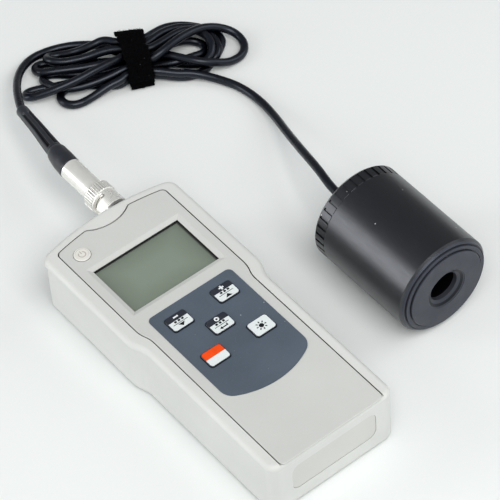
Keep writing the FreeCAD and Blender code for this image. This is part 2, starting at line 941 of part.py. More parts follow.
def contact_spring(x, start, end, level):
    """A coil spring between a contact plate and the flat end of a cell."""
    wire = 0.5
    length = end.value - start.value
    turns = 2.5
    helix = Part.makeHelix((length - 2 * wire) / turns, length - 2 * wire, 2.6)
    ring = Part.Wire(Part.makeCircle(wire, Vector(2.6, 0, 0), Vector(0, 1, 0)))
    coil = Part.Wire(helix.Edges).makePipeShell([ring], True, True)
    thing = shaped(coil, "Spring")
    return move(thing, x, start + wire, level, rotation=TURNS["+Y"])


# ---------------------------------------------------------------- connector

def around_socket(body_or_part):
    return move(body_or_part, s.socket_x, 0, s.socket_level)


def socket():
    """The bayonet socket in the case's top wall and what holds it."""
    seat = s.socket_seat
    flange_end = seat + s.flange_thickness
    inner = seat - 12
    profile = [
        (inner, 0.0), (seat + 1, 0.0), (seat + 1, s.socket_bore), (s.socket_end, s.socket_bore),
        (s.socket_end, s.socket_radius - 0.3), (s.socket_end - 0.3, s.socket_radius),
        (flange_end, s.socket_radius), (flange_end, s.flange_radius), (seat, s.flange_radius),
        (seat, s.thread_radius), (inner, s.thread_radius),
    ]
    bored = [
        (inner, s.socket_bore - 0.8), (seat + 1, s.socket_bore - 0.8), (seat + 1, s.socket_bore),
    ] + profile[3:]
    body = turned(bored, s.socket_x, s.socket_level)
    lugs = []
    for half_turn in (0, 180):
        lug = doc.addObject("Part::Cylinder", "Lug")
        bind(lug, "Radius", s.lug_radius)
        bind(lug, "Height", s.lug_reach - 4.2)
        angle = math.radians(s.lug_angle.value + half_turn)
        outward = Vector(math.cos(angle), 0, math.sin(angle))
        base = Vector(s.socket_x.value, s.lug_station.value, s.socket_level.value) + outward * 4.2
        lug.Placement = Placement(base, Rotation(Vector(0, 0, 1), outward))
        lugs.append(lug)
    keep(fuse([body] + lugs), "bnc_socket")

    core = ring_profile(inner, seat + 1, 1.1, s.socket_bore - 0.8)
    keep(turned(core, s.socket_x, s.socket_level), "bnc_insulator")
    pin = [(inner - 4, 0.0), (83.0, 0.0), (83.0, 0.7), (87.5, 0.7), (87.5, 1.1), (inner - 4, 1.1)]
    keep(turned(pin, s.socket_x, s.socket_level), "bnc_contact")

    wall_inside = seat - 4.4
    washer = ring_profile(wall_inside - 0.6, wall_inside, s.thread_radius, 6.8)
    keep(turned(washer, s.socket_x, s.socket_level), "bnc_washer")
    keep(hex_nut(wall_inside - 0.6, -2.2), "bnc_nut")


def hex_nut(start, depth):
    """The hexagon nut that clamps the socket from inside."""
    body = new_body()
    across = 12.7
    corner = across / math.sqrt(3)
    angles = [math.radians(60 * n) for n in range(6)]
    points = [(corner * math.cos(angle), corner * math.sin(angle)) for angle in angles]
    sketch = new_sketch(body, "XZ_Plane", -start)
    outline(sketch, points)
    circle(sketch, 0, 0, s.thread_radius)
    pad(body, sketch, -depth)
    return around_socket(body)


def coupling_nut():
    """The plug's bayonet nut: knurled at the back, slotted for the socket's two lugs."""
    body = new_body()
    profile = [
        (s.nut_start, s.nut_bore), (s.knurl_start + 1.2, s.nut_bore), (s.knurl_start + 1.2, s.nut_neck),
        (s.nut_end, s.nut_neck), (s.nut_end, s.knurl_radius - 0.7), (s.nut_end - 0.5, s.knurl_radius),
        (s.knurl_start, s.knurl_radius), (s.knurl_start - 0.4, s.nut_radius),
        (s.nut_start + 0.4, s.nut_radius), (s.nut_start, s.nut_radius - 0.4),
    ]
    revolve(body, outline(new_sketch(body, "YZ_Plane"), profile))
    # one groove of the knurl, from the rear end to the knurl's front edge
    sketch = new_sketch(body, "XZ_Plane", -s.nut_end)
    top = s.knurl_radius + 0.3
    outline(sketch, [(-0.38, top), (0, s.knurl_radius - 0.42), (0.38, top)])
    groove = body.newObject("PartDesign::Pocket", "Groove")
    groove.Profile = sketch
    bind(groove, "Length", s.nut_end - s.knurl_start + 0.2)
    groove.Reversed = True
    doc.recompute()
    fail_if_broken([sketch, groove])
    polar(body, groove, s.knurl_grooves)
    around_socket(body)
    slots = [bayonet_slot(half_turn) for half_turn in (0, 180)]
    return keep(cut(body, slots), "coupling_nut")


def round_point(radius, degrees, station):
    """A point round the connector's axis, counted from +X towards +Z."""
    angle = math.radians(degrees)
    return Vector(radius * math.cos(angle), station, radius * math.sin(angle))


def bayonet_slot(half_turn):
    """An entry from the nut's front edge and a run round to where the lug locks."""
    half = s.lug_radius.value + 0.25
    station = s.lug_station.value
    inner, outer = 4.6, 8.5
    locked = s.lug_angle.value + half_turn
    entry = locked + s.slot_turn.value
    middle = (locked + entry) / 2
    near = station - half
    sector = Part.Wire([
        Part.LineSegment(round_point(inner, entry, near), round_point(outer, entry, near)).toShape(),
        Part.Arc(*[round_point(outer, a, near) for a in (entry, middle, locked)]).toShape(),
        Part.LineSegment(round_point(outer, locked, near), round_point(inner, locked, near)).toShape(),
        Part.Arc(*[round_point(inner, a, near) for a in (locked, middle, entry)]).toShape(),
    ])
    shape = Part.Face(sector).extrude(Vector(0, 2 * half, 0))
    for angle in (entry, locked):
        outward = round_point(1, angle, 0)
        end = Part.makeCylinder(half, outer - inner, round_point(inner, angle, station), outward)
        shape = shape.fuse(end)
    lane = Part.makeBox(2 * half, station - s.nut_start.value + 1, outer - inner)
    lane.translate(Vector(-half, s.nut_start.value - 1, inner))
    lane.rotate(Vector(0, 0, 0), Vector(0, 1, 0), 90 - entry)
    return around_socket(shaped(shape.fuse(lane), "Slot"))


def plug():
    """The plug's metal sleeve, its insulator and its pin."""
    profile = [
        (84.0, 2.6), (88.0, 2.6), (88.0, 1.8), (s.sleeve_end, 1.8), (s.sleeve_end, s.sleeve_radius),
        (s.nut_end + 0.6, s.sleeve_radius), (s.nut_end + 0.1, s.sleeve_radius - 0.5),
        (s.nut_end + 0.1, s.nut_neck - 0.05), (92.1, s.nut_neck - 0.05), (92.1, 3.2), (84.0, 3.2),
    ]
    keep(turned(profile, s.socket_x, s.socket_level), "plug_sleeve")
    keep(turned(ring_profile(88.0, 97.0, 0.65, 1.8), s.socket_x, s.socket_level), "plug_insulator")
    pin = [(83.6, 0.0), (100.0, 0.0), (100.0, 0.65), (84.1, 0.65), (83.6, 0.3)]
    keep(turned(pin, s.socket_x, s.socket_level), "plug_pin")


# ---------------------------------------------------------------- lead

# the strain relief's own bend: where it goes, and its radius at fractions of its length
RELIEF = [
    Vector(9.5, 116.7, 23.0), Vector(9.9, 123.0, 23.0), Vector(11.1, 130.5, 22.4),
    Vector(12.7, 140.0, 21.0), Vector(14.8, 150.2, 19.2), Vector(17.6, 167.1, 16.0),
]
RELIEF_SHAPE = [(0.0, 5.5), (0.23, 4.9), (0.3, 4.0), (0.5, 3.6), (0.75, 3.1), (1.0, 2.8)]
# corners of the lead's route on the table, from the strain relief to the hank
TO_PLUG = [
    Vector(17.6, 167.1, 16.0),
    Vector(20.4, 173.4, 14.5),
    Vector(25.2, 182.6, 11.8),
    Vector(31.4, 191.6, 8.6),
    Vector(38.7, 198.6, 5.8),
    Vector(47.0, 203.4, 3.4),
    Vector(56.0, 204.0, 2.2),
    Vector(64.2, 200.2, 2.1),
    Vector(70.4, 194.4, 2.2),
    Vector(75.4, 187.6, 2.8),
]
# and from the sensor head's gland to the hank
TO_SENSOR = [
    Vector(89.5, 18.2, 24.2),
    Vector(89.5, 28.0, 24.2),
    Vector(93.8, 43.5, 22.0),
    Vector(98.6, 61.5, 16.6),
    Vector(104.2, 79.5, 10.2),
    Vector(109.4, 95.0, 5.0),
    Vector(112.2, 109.0, 2.4),
    Vector(111.3, 122.0, 2.1),
    Vector(107.8, 132.0, 2.2),
    Vector(102.8, 139.6, 3.2),
]


def route_edges(points):
    """Straight runs joined by tangent arcs as large as the runs allow."""
    edges = []
    radii = []
    start = points[0]
    for before, corner, after in zip(points, points[1:], points[2:]):
        back = (before - corner).normalize()
        on = (after - corner).normalize()
        turn = math.pi - back.getAngle(on)
        shorter = min((before - corner).Length, (after - corner).Length)
        radius = 0.45 * shorter / math.tan(turn / 2)
        reach = 0.45 * shorter
        bisector = (back + on).normalize()
        centre = corner + bisector * math.hypot(radius, reach)
        first = corner + back * reach
        last = corner + on * reach
        middle = centre - bisector * radius
        edges.append(Part.LineSegment(start, first).toShape())
        edges.append(Part.Arc(first, middle, last).toShape())
        radii.append(radius)
        start = last
    edges.append(Part.LineSegment(start, points[-1]).toShape())
    return edges, radii


def lead_tube(label, points):
    """A round lead swept along its route, checked by its volume."""
    edges, radii = route_edges(points)
    path = Part.Wire(edges)
    radius = s.lead_radius.value
    ring = Part.Wire(Part.makeCircle(radius, points[0], points[1] - points[0]))
    tube = path.makePipeShell([ring], True, False)
    expected = math.pi * radius ** 2 * path.Length
    if abs(tube.Volume / expected - 1) > 0.01:
        raise RuntimeError(f"{label}: volume {tube.Volume:.1f}, expected {expected:.1f}")
    print(label, f"length {path.Length:.1f}", "radii", [round(value, 1) for value in radii])
    return keep(shaped(tube, "Lead"), label)


def strain_relief():
    """A tapered sleeve that bends with the lead."""
    line = Part.BSplineCurve()
    tangent = (TO_PLUG[1] - TO_PLUG[0]).normalize()
    line.interpolate(RELIEF, InitialTangent=Vector(0, 1, 0), FinalTangent=tangent)
    first, last = line.FirstParameter, line.LastParameter
    wires = []
    sections = 20
    for index in range(sections + 1):
        part = index / sections
        at = first + (last - first) * part
        low, high = next(pair for pair in zip(RELIEF_SHAPE, RELIEF_SHAPE[1:]) if part <= pair[1][0])
        radius = low[1] + (high[1] - low[1]) * (part - low[0]) / (high[0] - low[0])
        wires.append(Part.Wire(Part.makeCircle(radius, line.value(at), Vector(*line.tangent(at)[0]))))
    return keep(shaped(Part.makeLoft(wires, True, True), "Relief"), "strain_relief")


# the hank's outline on the table: ends of arcs, each with a point the arc passes
HANK = [
    ((88, 178), (69, 192)),
    ((50, 199), (37, 193.5)),
    ((29, 184), (34, 169)),
    ((44, 162), (58, 159)),
    ((73, 156), (84, 150)),
    ((94, 143), (104, 137.5)),
    ((117, 136), (129, 139.5)),
    ((131.8, 150), (126, 164)),
    ((114, 173), (100, 176)),
]


def hank():
    """The outer form of the tied turns: a fan at each end of a narrow waist."""
    edges = []
    for index, (start, through) in enumerate(HANK):
        end = HANK[(index + 1) % len(HANK)][0]
        edges.append(Part.Arc(Vector(*start, 0), Vector(*through, 0), Vector(*end, 0)).toShape())
    plan = Part.Face(Part.Wire(edges))
    bulk = plan.extrude(Vector(0, 0, s.hank_top.value))
    thickness = s.tie_thickness.value
    waist = tie_box(s.tie_width.value, s.tie_span.value, s.hank_top.value - thickness + 1.5, thickness)
    waist = waist.fuse(bulk.common(waist))
    full = plan.extrude(Vector(0, 0, s.hank_top.value)).cut(tie_box(s.tie_width.value, 60, 30, -5))
    return keep(shaped(full.fuse(waist).removeSplitter(), "Hank"), "cord_hank")


def tie_box(width, span, height, level):
    """A block centred on the tie, in line with the hank."""
    block = Part.makeBox(width, span, height, Vector(-width / 2, -span / 2, level))
    block.rotate(Vector(0, 0, 0), Vector(0, 0, 1), s.tie_angle.value)
    block.translate(Vector(s.tie_x.value, s.tie_y.value, 0))
    return block


def cord_tie():
    """A hook-and-loop strap wrapped round the hank's waist."""
    thickness = s.tie_thickness.value
    gap = 0.05
    high = s.hank_top.value + 1.5
    span = s.tie_span.value + 2 * gap
    inner = tie_box(s.tie_width.value + 2, span, high + 2 * gap - thickness, thickness - gap)
    outer = tie_box(s.tie_width.value, span + 2 * thickness, high + gap + thickness, 0)
    along = [edge for edge in outer.Edges if abs(edge.Length - s.tie_width.value) < 1e-6]
    outer = outer.makeFillet(thickness * 0.9, along)
    return keep(shaped(outer.cut(inner), "Tie"), "cord_tie")


# ---------------------------------------------------------------- sensor head

def around_sensor(thing):
    return move(thing, s.sensor_x, 0, s.sensor_radius)


def sensor_barrel():
    outer = s.sensor_radius
    bore = s.barrel_bore
    front = s.barrel_front
    rear = s.barrel_rear
    profile = [
        (front, bore), (s.board_seat - 3, bore), (s.board_seat - 3, bore - 1.6),
        (s.board_seat, bore - 1.6), (s.board_seat, bore), (rear, bore),
        (rear, outer), (front + 0.8, outer), (front, outer - 0.8),
    ]
    return keep(turned(profile, s.sensor_x, s.sensor_radius), "sensor_barrel")


def sensor_rear_cap():
    """A screw cap with grip grooves round its edge and a hole for the gland."""
    body = new_body()
    outer = s.sensor_radius
    front = s.barrel_rear + 0.1
    rear = s.cap_rear
    spigot = s.board_seat + s.board_thickness
    inner = s.barrel_bore - 0.1
    profile = [
        (spigot, inner - 2.4), (rear - 3, inner - 2.4), (rear - 3, 3.0), (rear, 3.0), (rear, outer - 1.2),
        (rear - 1.2, outer), (front + 0.2, outer), (front, outer - 0.2), (front, inner), (spigot, inner),
    ]
    revolve(body, outline(new_sketch(body, "YZ_Plane"), profile))
    sketch = new_sketch(body, "XZ_Plane", -front - s.groove_length)
    half = s.groove_width / 2
    rectangle(sketch, (-half, outer - s.groove_depth), (half, outer + 1))
    groove = body.newObject("PartDesign::Pocket", "Groove")
    groove.Profile = sketch
    bind(groove, "Length", s.groove_length)
    groove.Reversed = True
    doc.recompute()
    fail_if_broken([sketch, groove])
    polar(body, groove, s.cap_grooves)
    around_sensor(body)
    return keep(body, "sensor_rear_cap")


def sensor_face():
    """The stepped face plate, the rim of the aperture and its baffle tube."""
    front = s.face_front
    base = s.barrel_front
    rim = s.aperture_rim_radius
    profile = [
        (base + 5, s.barrel_bore - 0.1), (base + 5, rim + 1.5), (base, rim + 1.5), (base, rim + 0.02),
        (front, rim + 0.02), (front, 19.5), (front + 0.25, 19.75), (front + 1.2, 19.75),
        (front + 1.2, 20.35),
        (front + 0.85, 20.35), (front + 0.85, 21.7), (front + 1.05, 21.9), (front + 2.0, 21.9),
        (front + 2.0, 22.5), (front + 1.75, 22.5), (front + 1.75, 22.9), (base, 23.3),
        (base, s.barrel_bore - 0.1),
    ]
    keep(turned(profile, s.sensor_x, s.sensor_radius), "sensor_face_plate")
    bore = s.aperture_radius
    ring = [
        (base + 1.5, bore), (front + 2.0, bore), (front + 0.5, rim - 0.5), (front + 0.25, rim),
        (base, rim), (base, rim + 1.4), (base + 1.5, rim + 1.4),
    ]
    keep(turned(ring, s.sensor_x, s.sensor_radius), "aperture_rim")
    tube = [
        (base + 1.5, bore), (-24.0, bore), (-24.0, 8.6), (-16.0, 8.6), (-16.0, rim), (base + 1.5, rim),
    ]
    keep(turned(tube, s.sensor_x, s.sensor_radius), "aperture_tube")


def sensor_inside():
    """Lens, its retaining ring, the light cell, the small board and its wires."""
    lens = Part.makeCylinder(8.5, 3.4, Vector(0, -24.0, 0), Vector(0, 1, 0))
    dome = Part.makeSphere(14.0, Vector(0, -9.9, 0))
    thing = shaped(lens.common(dome), "Lens")
    keep(around_sensor(thing), "sensor_lens")
    keep(turned(ring_profile(-20.6, -18.6, 6.4, 8.55), s.sensor_x, s.sensor_radius), "lens_ring")
    can = [
        (-17.5, 0.0), (s.board_seat - 0.8, 0.0), (s.board_seat - 0.8, 5.3), (-10.4, 5.3),
        (-10.4, 4.5), (-17.5, 4.5),
    ]
    keep(turned(can, s.sensor_x, s.sensor_radius), "light_cell")
    board = ring_profile(s.board_seat, s.board_seat + s.board_thickness, 1.0, s.barrel_bore - 0.2)
    keep(turned(board, s.sensor_x, s.sensor_radius), "sensor_board")
    wires = []
    for offset in (-1.6, 1.6):
        start = (s.sensor_x + offset, s.board_seat + s.board_thickness, s.sensor_radius)
        wires.append(cylinder(0.6, start, s.cap_rear - 4 - s.board_seat - s.board_thickness, "+Y"))
    keep(group(wires), "sensor_wires")
    gland = [
        (s.cap_rear - 4, 0.0), (s.gland_end, 0.0), (s.gland_end, 2.6), (s.cap_rear + 0.8, 3.6),
        (s.cap_rear + 0.8, 4.4), (s.cap_rear, 4.4), (s.cap_rear, 2.95), (s.cap_rear - 3, 2.95),
        (s.cap_rear - 3, 4.0), (s.cap_rear - 4, 4.0),
    ]
    keep(turned(gland, s.sensor_x, s.sensor_radius), "cord_gland")


# ---------------------------------------------------------------- build and write

rear_shell()
front_frame()
front_cover()
battery_door()
end_plate()
display_stack()
keypad_overlay()
for name, (column, line) in KEYS.items():
    key_cap(name, column, line)
power_button()
key_switches()
main_board()
board_parts()
screws()
batteries()
socket()
coupling_nut()
plug()
strain_relief()
lead_tube("cord_to_plug", TO_PLUG)
hank()
lead_tube("cord_to_sensor", TO_SENSOR)
cord_tie()
sensor_barrel()
sensor_rear_cap()
sensor_face()
sensor_inside()

doc.recompute()
fail_if_broken(doc.Objects)
for node in nodes:
    if node.Shape.isNull() or not node.Shape.isValid() or not node.Shape.Solids:
        raise RuntimeError(f"{node.Label} has no valid solid")

os.makedirs("parts", exist_ok=True)
for node in nodes:
    node.Shape.exportStep(f"parts/{node.Label}.step")
print(len(nodes), "nodes written")
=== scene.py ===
"""A light meter lying on its back, with its sensor head on a tied-up lead."""
import math
import random

import bmesh
import bpy
from mathutils import Matrix, Vector


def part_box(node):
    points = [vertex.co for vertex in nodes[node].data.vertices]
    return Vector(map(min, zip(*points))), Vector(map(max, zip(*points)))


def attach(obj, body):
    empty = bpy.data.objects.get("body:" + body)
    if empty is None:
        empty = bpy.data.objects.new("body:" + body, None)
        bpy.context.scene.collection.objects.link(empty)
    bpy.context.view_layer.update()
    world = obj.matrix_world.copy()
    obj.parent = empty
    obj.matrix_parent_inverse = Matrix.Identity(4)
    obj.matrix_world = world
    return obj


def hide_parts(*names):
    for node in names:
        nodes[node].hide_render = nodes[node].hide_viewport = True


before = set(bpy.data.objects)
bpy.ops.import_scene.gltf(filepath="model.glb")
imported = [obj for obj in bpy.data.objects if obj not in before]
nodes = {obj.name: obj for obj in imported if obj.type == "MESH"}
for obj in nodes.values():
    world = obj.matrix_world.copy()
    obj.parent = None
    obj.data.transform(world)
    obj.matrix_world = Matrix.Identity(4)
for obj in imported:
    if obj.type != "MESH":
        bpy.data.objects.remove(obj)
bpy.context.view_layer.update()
MM = 0.001


def middle_of(box):
    """The middle, in X and Y, of a box given by its lowest and highest corners."""
    low, high = box
    return ((low.x + high.x) / 2, (low.y + high.y) / 2)


# ---------------------------------------------------------------- camera

LENS = 209.1
SENSOR_WIDTH = 36.0
CAMERA_PLACE = Vector((-0.4430, -0.6587, 0.9796))
CAMERA_RIGHT = Vector((0.78015, -0.62344, -0.05182))
CAMERA_UP = Vector((0.49694, 0.56728, 0.65668))
CAMERA_AHEAD = Vector((0.38001, 0.53806, -0.75238))


def add_camera():
    data = bpy.data.cameras.new("camera")
    data.lens = LENS
    data.sensor_width = SENSOR_WIDTH
    data.clip_start = 0.05
    data.clip_end = 20.0
    camera = bpy.data.objects.new("camera", data)
    bpy.context.scene.collection.objects.link(camera)
    turn = Matrix((CAMERA_RIGHT, CAMERA_UP, -CAMERA_AHEAD)).transposed().to_4x4()
    turn.translation = CAMERA_PLACE
    camera.matrix_world = turn
    bpy.context.scene.camera = camera


# ---------------------------------------------------------------- colours

def linear(value):
    """One colour channel, 0 to 255 as seen, to the linear value a shader takes."""
    share = value / 255.0
    if share <= 0.04045:
        return share / 12.92
    return ((share + 0.055) / 1.055) ** 2.4


def colour(red, green, blue):
    return (linear(red), linear(green), linear(blue), 1.0)


def shade(rgb, factor):
    """The same colour, darker or lighter by a factor."""
    return tuple(min(channel * factor, 1.0) for channel in rgb[:3]) + (1.0,)


# near-black: the bore tube's own colour, and painted shade in deep gaps and in the aperture
# rim's groove
BORE_BLACK_AND_SHADE = colour(3, 3, 4)
# dark grey painted as shade into the gaps and seams of moulded parts
CREVICE_SHADE_COLOUR = colour(40, 42, 38)
BAND_BLACK = colour(44, 47, 56)
BAND_ORANGE = colour(238, 76, 14)
INSULATOR_WHITE = colour(232, 232, 228)
GOLD = (0.80, 0.58, 0.25, 1.0)
NICKEL = (0.80, 0.79, 0.76, 1.0)
STEEL = (0.62, 0.62, 0.63, 1.0)
SCREW_STEEL = (0.58, 0.58, 0.60, 1.0)
# how the gloss on dark plastics is tinted
COOL_GLOSS = (0.80, 0.87, 1.0, 1.0)
BARREL_GLOSS = (0.90, 0.93, 1.0, 1.0)
# most values of a noise texture lie between these two
NOISE_LOW = 0.3
NOISE_HIGH = 0.7


# ---------------------------------------------------------------- materials

class Finish:
    """A procedural material under construction: nodes are added one at a time."""

    def __init__(self, name, roughness, metallic=0.0, specular=0.5):
        self.material = bpy.data.materials.new(name)
        self.material.use_nodes = True
        self.tree = self.material.node_tree
        self.shader = self.tree.nodes["Principled BSDF"]
        self.shader.inputs["Roughness"].default_value = roughness
        self.shader.inputs["Metallic"].default_value = metallic
        self.shader.inputs["Specular IOR Level"].default_value = specular
        self.place = self.add("ShaderNodeTexCoord").outputs["Object"]

    def add(self, kind, **settings):
        node = self.tree.nodes.new(kind)
        for key, value in settings.items():
            setattr(node, key, value)
        return node

    def link(self, source, target):
        self.tree.links.new(source, target)

    def math(self, operation, first, second=None):
        node = self.add("ShaderNodeMath", operation=operation)
        for socket, value in zip(node.inputs, (first, second)):
            if value is None:
                continue
            if isinstance(value, (int, float)):
                socket.default_value = value
            else:
                self.link(value, socket)
        return node.outputs[0]

    def hypotenuse(self, first, second):
        squares = [self.math("MULTIPLY", side, side) for side in (first, second)]
        return self.math("SQRT", self.math("ADD", *squares))

    def axes(self):
        """The place's X, Y and Z, each as its own output."""
        apart = self.add("ShaderNodeSeparateXYZ")
        self.link(self.place, apart.inputs[0])
        return list(apart.outputs)

    def noise(self, scale, detail=3.0, stretch=None):
        node = self.add("ShaderNodeTexNoise")
        node.inputs["Scale"].default_value = scale
        node.inputs["Detail"].default_value = detail
        where = self.place
        if stretch:
            mapping = self.add("ShaderNodeMapping")
            mapping.inputs["Scale"].default_value = stretch
            self.link(self.place, mapping.inputs["Vector"])
            where = mapping.outputs["Vector"]
        self.link(where, node.inputs["Vector"])
        return node.outputs["Fac"]

    def spread(self, value, low, high, to_low=0.0, to_high=1.0):
        """The value, rescaled from one span to another and held inside it."""
        node = self.add("ShaderNodeMapRange")
        node.inputs["From Min"].default_value = low
        node.inputs["From Max"].default_value = high
        node.inputs["To Min"].default_value = to_low
        node.inputs["To Max"].default_value = to_high
        self.link(value, node.inputs["Value"])
        return node.outputs["Result"]

    def drift(self, scale, detail, to_low=0.0, to_high=1.0):
        """A cloudy wander over the surface between two values."""
        return self.spread(self.noise(scale, detail), NOISE_LOW, NOISE_HIGH, to_low, to_high)

    def mix(self, share, first, second):
        node = self.add("ShaderNodeMix", data_type="RGBA")
        self.link(share, node.inputs[0])
        for socket, value in ((node.inputs[6], first), (node.inputs[7], second)):
            if isinstance(value, tuple):
                socket.default_value = value
            else:
                self.link(value, socket)
        return node.outputs[2]

    def over(self, body, mask, share, top):
        """A second colour laid over the body where the mask is 1, at most by the share."""
        return self.mix(self.math("MULTIPLY", mask, share), body, top)

    def edges(self, radius):
        """1 on convex and concave edges, 0 on open faces."""
        bevel = self.add("ShaderNodeBevel", samples=4)
        bevel.inputs["Radius"].default_value = radius
        face = self.add("ShaderNodeNewGeometry")
        dot = self.add("ShaderNodeVectorMath", operation="DOT_PRODUCT")
        self.link(bevel.outputs["Normal"], dot.inputs[0])
        self.link(face.outputs["Normal"], dot.inputs[1])
        return self.spread(dot.outputs["Value"], 0.90, 0.995, 1.0, 0.0)

    def crevices(self, reach):
        """1 deep in gaps and grooves, 0 on open faces."""
        hidden = self.add("ShaderNodeAmbientOcclusion", samples=10)
        hidden.inputs["Distance"].default_value = reach
        return self.spread(hidden.outputs["AO"], 0.25, 0.75, 1.0, 0.0)

    def paint_gap_shade(self, body, reach):
        """Painted shade: deep gaps between dark pieces are painted black and made metallic, so
        they lose their gloss as well as their colour.
        """
        deep = self.crevices(reach)
        self.link(deep, self.shader.inputs["Metallic"])
        return self.mix(deep, body, BORE_BLACK_AND_SHADE)

    def bump(self, height, strength, distance, before=None):
        node = self.add("ShaderNodeBump")
        node.inputs["Strength"].default_value = strength
        node.inputs["Distance"].default_value = distance
        self.link(height, node.inputs["Height"])
        if before is not None:
            self.link(before, node.inputs["Normal"])
        return node.outputs["Normal"]

    def specks(self, scale, share):
        """Sparse small dots, such as settled dust."""
        node = self.add("ShaderNodeTexVoronoi")
        node.inputs["Scale"].default_value = scale
        self.link(self.place, node.inputs["Vector"])
        dot = self.spread(node.outputs["Distance"], 0.10, 0.16, 1.0, 0.0)
        pick = self.add("ShaderNodeSeparateColor")
        self.link(node.outputs["Color"], pick.inputs[0])
        rare = self.math("LESS_THAN", pick.outputs[0], share)
        return self.math("MULTIPLY", dot, rare)

    def gloss_tint(self, tint):
        self.shader.inputs["Specular Tint"].default_value = tint

    def paint(self, value):
        self.link(value, self.shader.inputs["Base Color"])

    def rough(self, value):
        self.link(value, self.shader.inputs["Roughness"])

    def normal(self, value):
        self.link(value, self.shader.inputs["Normal"])


def moulded(name, rgb, roughness, grain=2600.0, depth=0.35, crevice_shade=0.0):
    """Moulded plastic: fine spark-eroded grain, slow colour drift, paler worn edges, and painted
    shade in its gaps and seams.
    """
    f = Finish(name, roughness, specular=0.4)
    body = f.mix(f.drift(22.0, 4.0), shade(rgb, 0.96), shade(rgb, 1.04))
    body = f.over(body, f.spread(f.noise(900.0, 2.0), 0.60, 0.72), 0.12, shade(rgb, 0.8))
    rubbed = f.math("MULTIPLY", f.edges(0.0006), f.spread(f.noise(160.0), 0.35, 0.65, 0.25, 1.0))
    body = f.mix(rubbed, body, shade(rgb, 1.10))
    # painted shade: gaps and seams darkened by occlusion
    if crevice_shade:
        body = f.over(body, f.crevices(0.0009), crevice_shade, CREVICE_SHADE_COLOUR)
    f.paint(body)
    f.rough(f.drift(60.0, 3.0, roughness - 0.06, roughness + 0.07))
    fine = f.bump(f.noise(grain, 2.0), depth, 0.00004)
    f.normal(f.bump(f.noise(220.0, 2.0), 0.10, 0.00010, fine))
    return f.material


def rubbery(name, rgb, roughness, specular=0.42):
    """Soft dark plastic or rubber: satin, faintly scuffed and handled."""
    f = Finish(name, roughness, specular=specular)
    f.gloss_tint(COOL_GLOSS)
    body = f.mix(f.drift(90.0, 4.0), shade(rgb, 0.85), shade(rgb, 1.2))
    scuff = f.spread(f.noise(420.0, 5.0), 0.62, 0.78)
    f.paint(f.over(body, scuff, 0.25, shade(rgb, 2.2)))
    f.rough(f.drift(180.0, 3.0, roughness - 0.07, roughness + 0.10))
    f.normal(f.bump(f.noise(3200.0, 2.0), 0.25, 0.00004))
    return f.material


def plated(name, rgb, roughness, stretch=(1.0, 1.0, 1.0), shine=1.0):
    """Plated or drawn metal: fine drawing marks, faint tarnish, brighter edges."""
    f = Finish(name, roughness, metallic=shine)
    tarnish = f.spread(f.noise(140.0, 4.0), 0.35, 0.75)
    body = f.mix(tarnish, rgb, shade(rgb, 0.86))
    f.paint(f.over(body, f.edges(0.0003), 0.6, shade(rgb, 1.15)))
    marks = f.noise(1500.0, 3.0, stretch)
    f.rough(f.spread(marks, NOISE_LOW, NOISE_HIGH, roughness - 0.05, roughness + 0.10))
    f.normal(f.bump(marks, 0.1, 0.00003))
    return f.material


KNURL_LINES = 64.0


def knurled(name, rgb, box):
    """The coupling nut: plated, with fine grip lines along its axis on the thickest part, the
    lines and the crevices darkened as painted shade.
    """
    low, high = box
    f = Finish(name, 0.27, metallic=0.5)
    x, _, z = f.axes()
    across = f.math("SUBTRACT", x, (low.x + high.x) / 2)
    height = f.math("SUBTRACT", z, (low.z + high.z) / 2)
    turn = f.math("ARCTAN2", across, height)
    lines = f.math("SINE", f.math("MULTIPLY", turn, KNURL_LINES))
    outer = (high.x - low.x) / 2
    thick = f.spread(f.hypotenuse(across, height), outer - 0.0006, outer - 0.0004)
    grip = f.math("MULTIPLY", lines, thick)
    body = f.mix(f.spread(f.noise(140.0, 4.0), 0.35, 0.75), rgb, shade(rgb, 0.9))
    # painted shade: the grip lines darkened in colour, alongside their bump
    body = f.mix(f.spread(grip, 0.0, 0.9, 0.0, 0.28), body, shade(rgb, 0.45))
    # painted shade: crevices darkened by occlusion
    f.paint(f.over(body, f.crevices(0.0006), 0.6, colour(80, 78, 72)))
    f.rough(f.drift(400.0, 3.0, 0.22, 0.36))
    f.normal(f.bump(grip, 0.5, 0.00008))
    return f.material


def rounded_field(f, centre, half, corner):
    """The signed distance, in metres, to a level rounded rectangle, and the place's Y."""
    places = f.axes()
    reach = []
    for axis in (0, 1):
        away = f.math("ABSOLUTE", f.math("SUBTRACT", places[axis], centre[axis]))
        reach.append(f.math("SUBTRACT", away, half[axis] - corner))
    outside = f.hypotenuse(f.math("MAXIMUM", reach[0], 0.0), f.math("MAXIMUM", reach[1], 0.0))
    inside = f.math("MINIMUM", f.math("MAXIMUM", *reach), 0.0)
    return f.math("SUBTRACT", f.math("ADD", outside, inside), corner), places[1]


KEY_HALF = (5.35 * MM, 4.4 * MM)
KEY_CORNER = 1.6 * MM


def key_finish(name, box, band=None, band_share=0.0):
    """A key cap: pale printed field inside a dark outline, with a coloured band on top."""
    centre = middle_of(box)
    pale = colour(226, 232, 233)
    f = Finish(name, 0.34, specular=0.4)
    edge, height = rounded_field(f, centre, KEY_HALF, KEY_CORNER)
    drift = f.drift(120.0, 3.0)
    body = f.mix(drift, shade(pale, 0.94), pale)
    if band:
        start = centre[1] + KEY_HALF[1] * (1.0 - 2.0 * band_share)
        tinted = f.mix(drift, shade(band, 0.85), shade(band, 1.1))
        body = f.mix(f.spread(height, start - 0.00003, start + 0.00003), body, tinted)
    body = f.mix(f.spread(edge, -0.00036, -0.00030), body, colour(30, 35, 43))
    smudge = f.spread(f.noise(700.0, 4.0), 0.62, 0.75)
    f.paint(f.over(body, smudge, 0.18, colour(120, 118, 112)))
    f.rough(f.drift(240.0, 3.0, 0.28, 0.42))
    f.normal(f.bump(f.noise(2400.0, 2.0), 0.2, 0.00003))
    return f.material


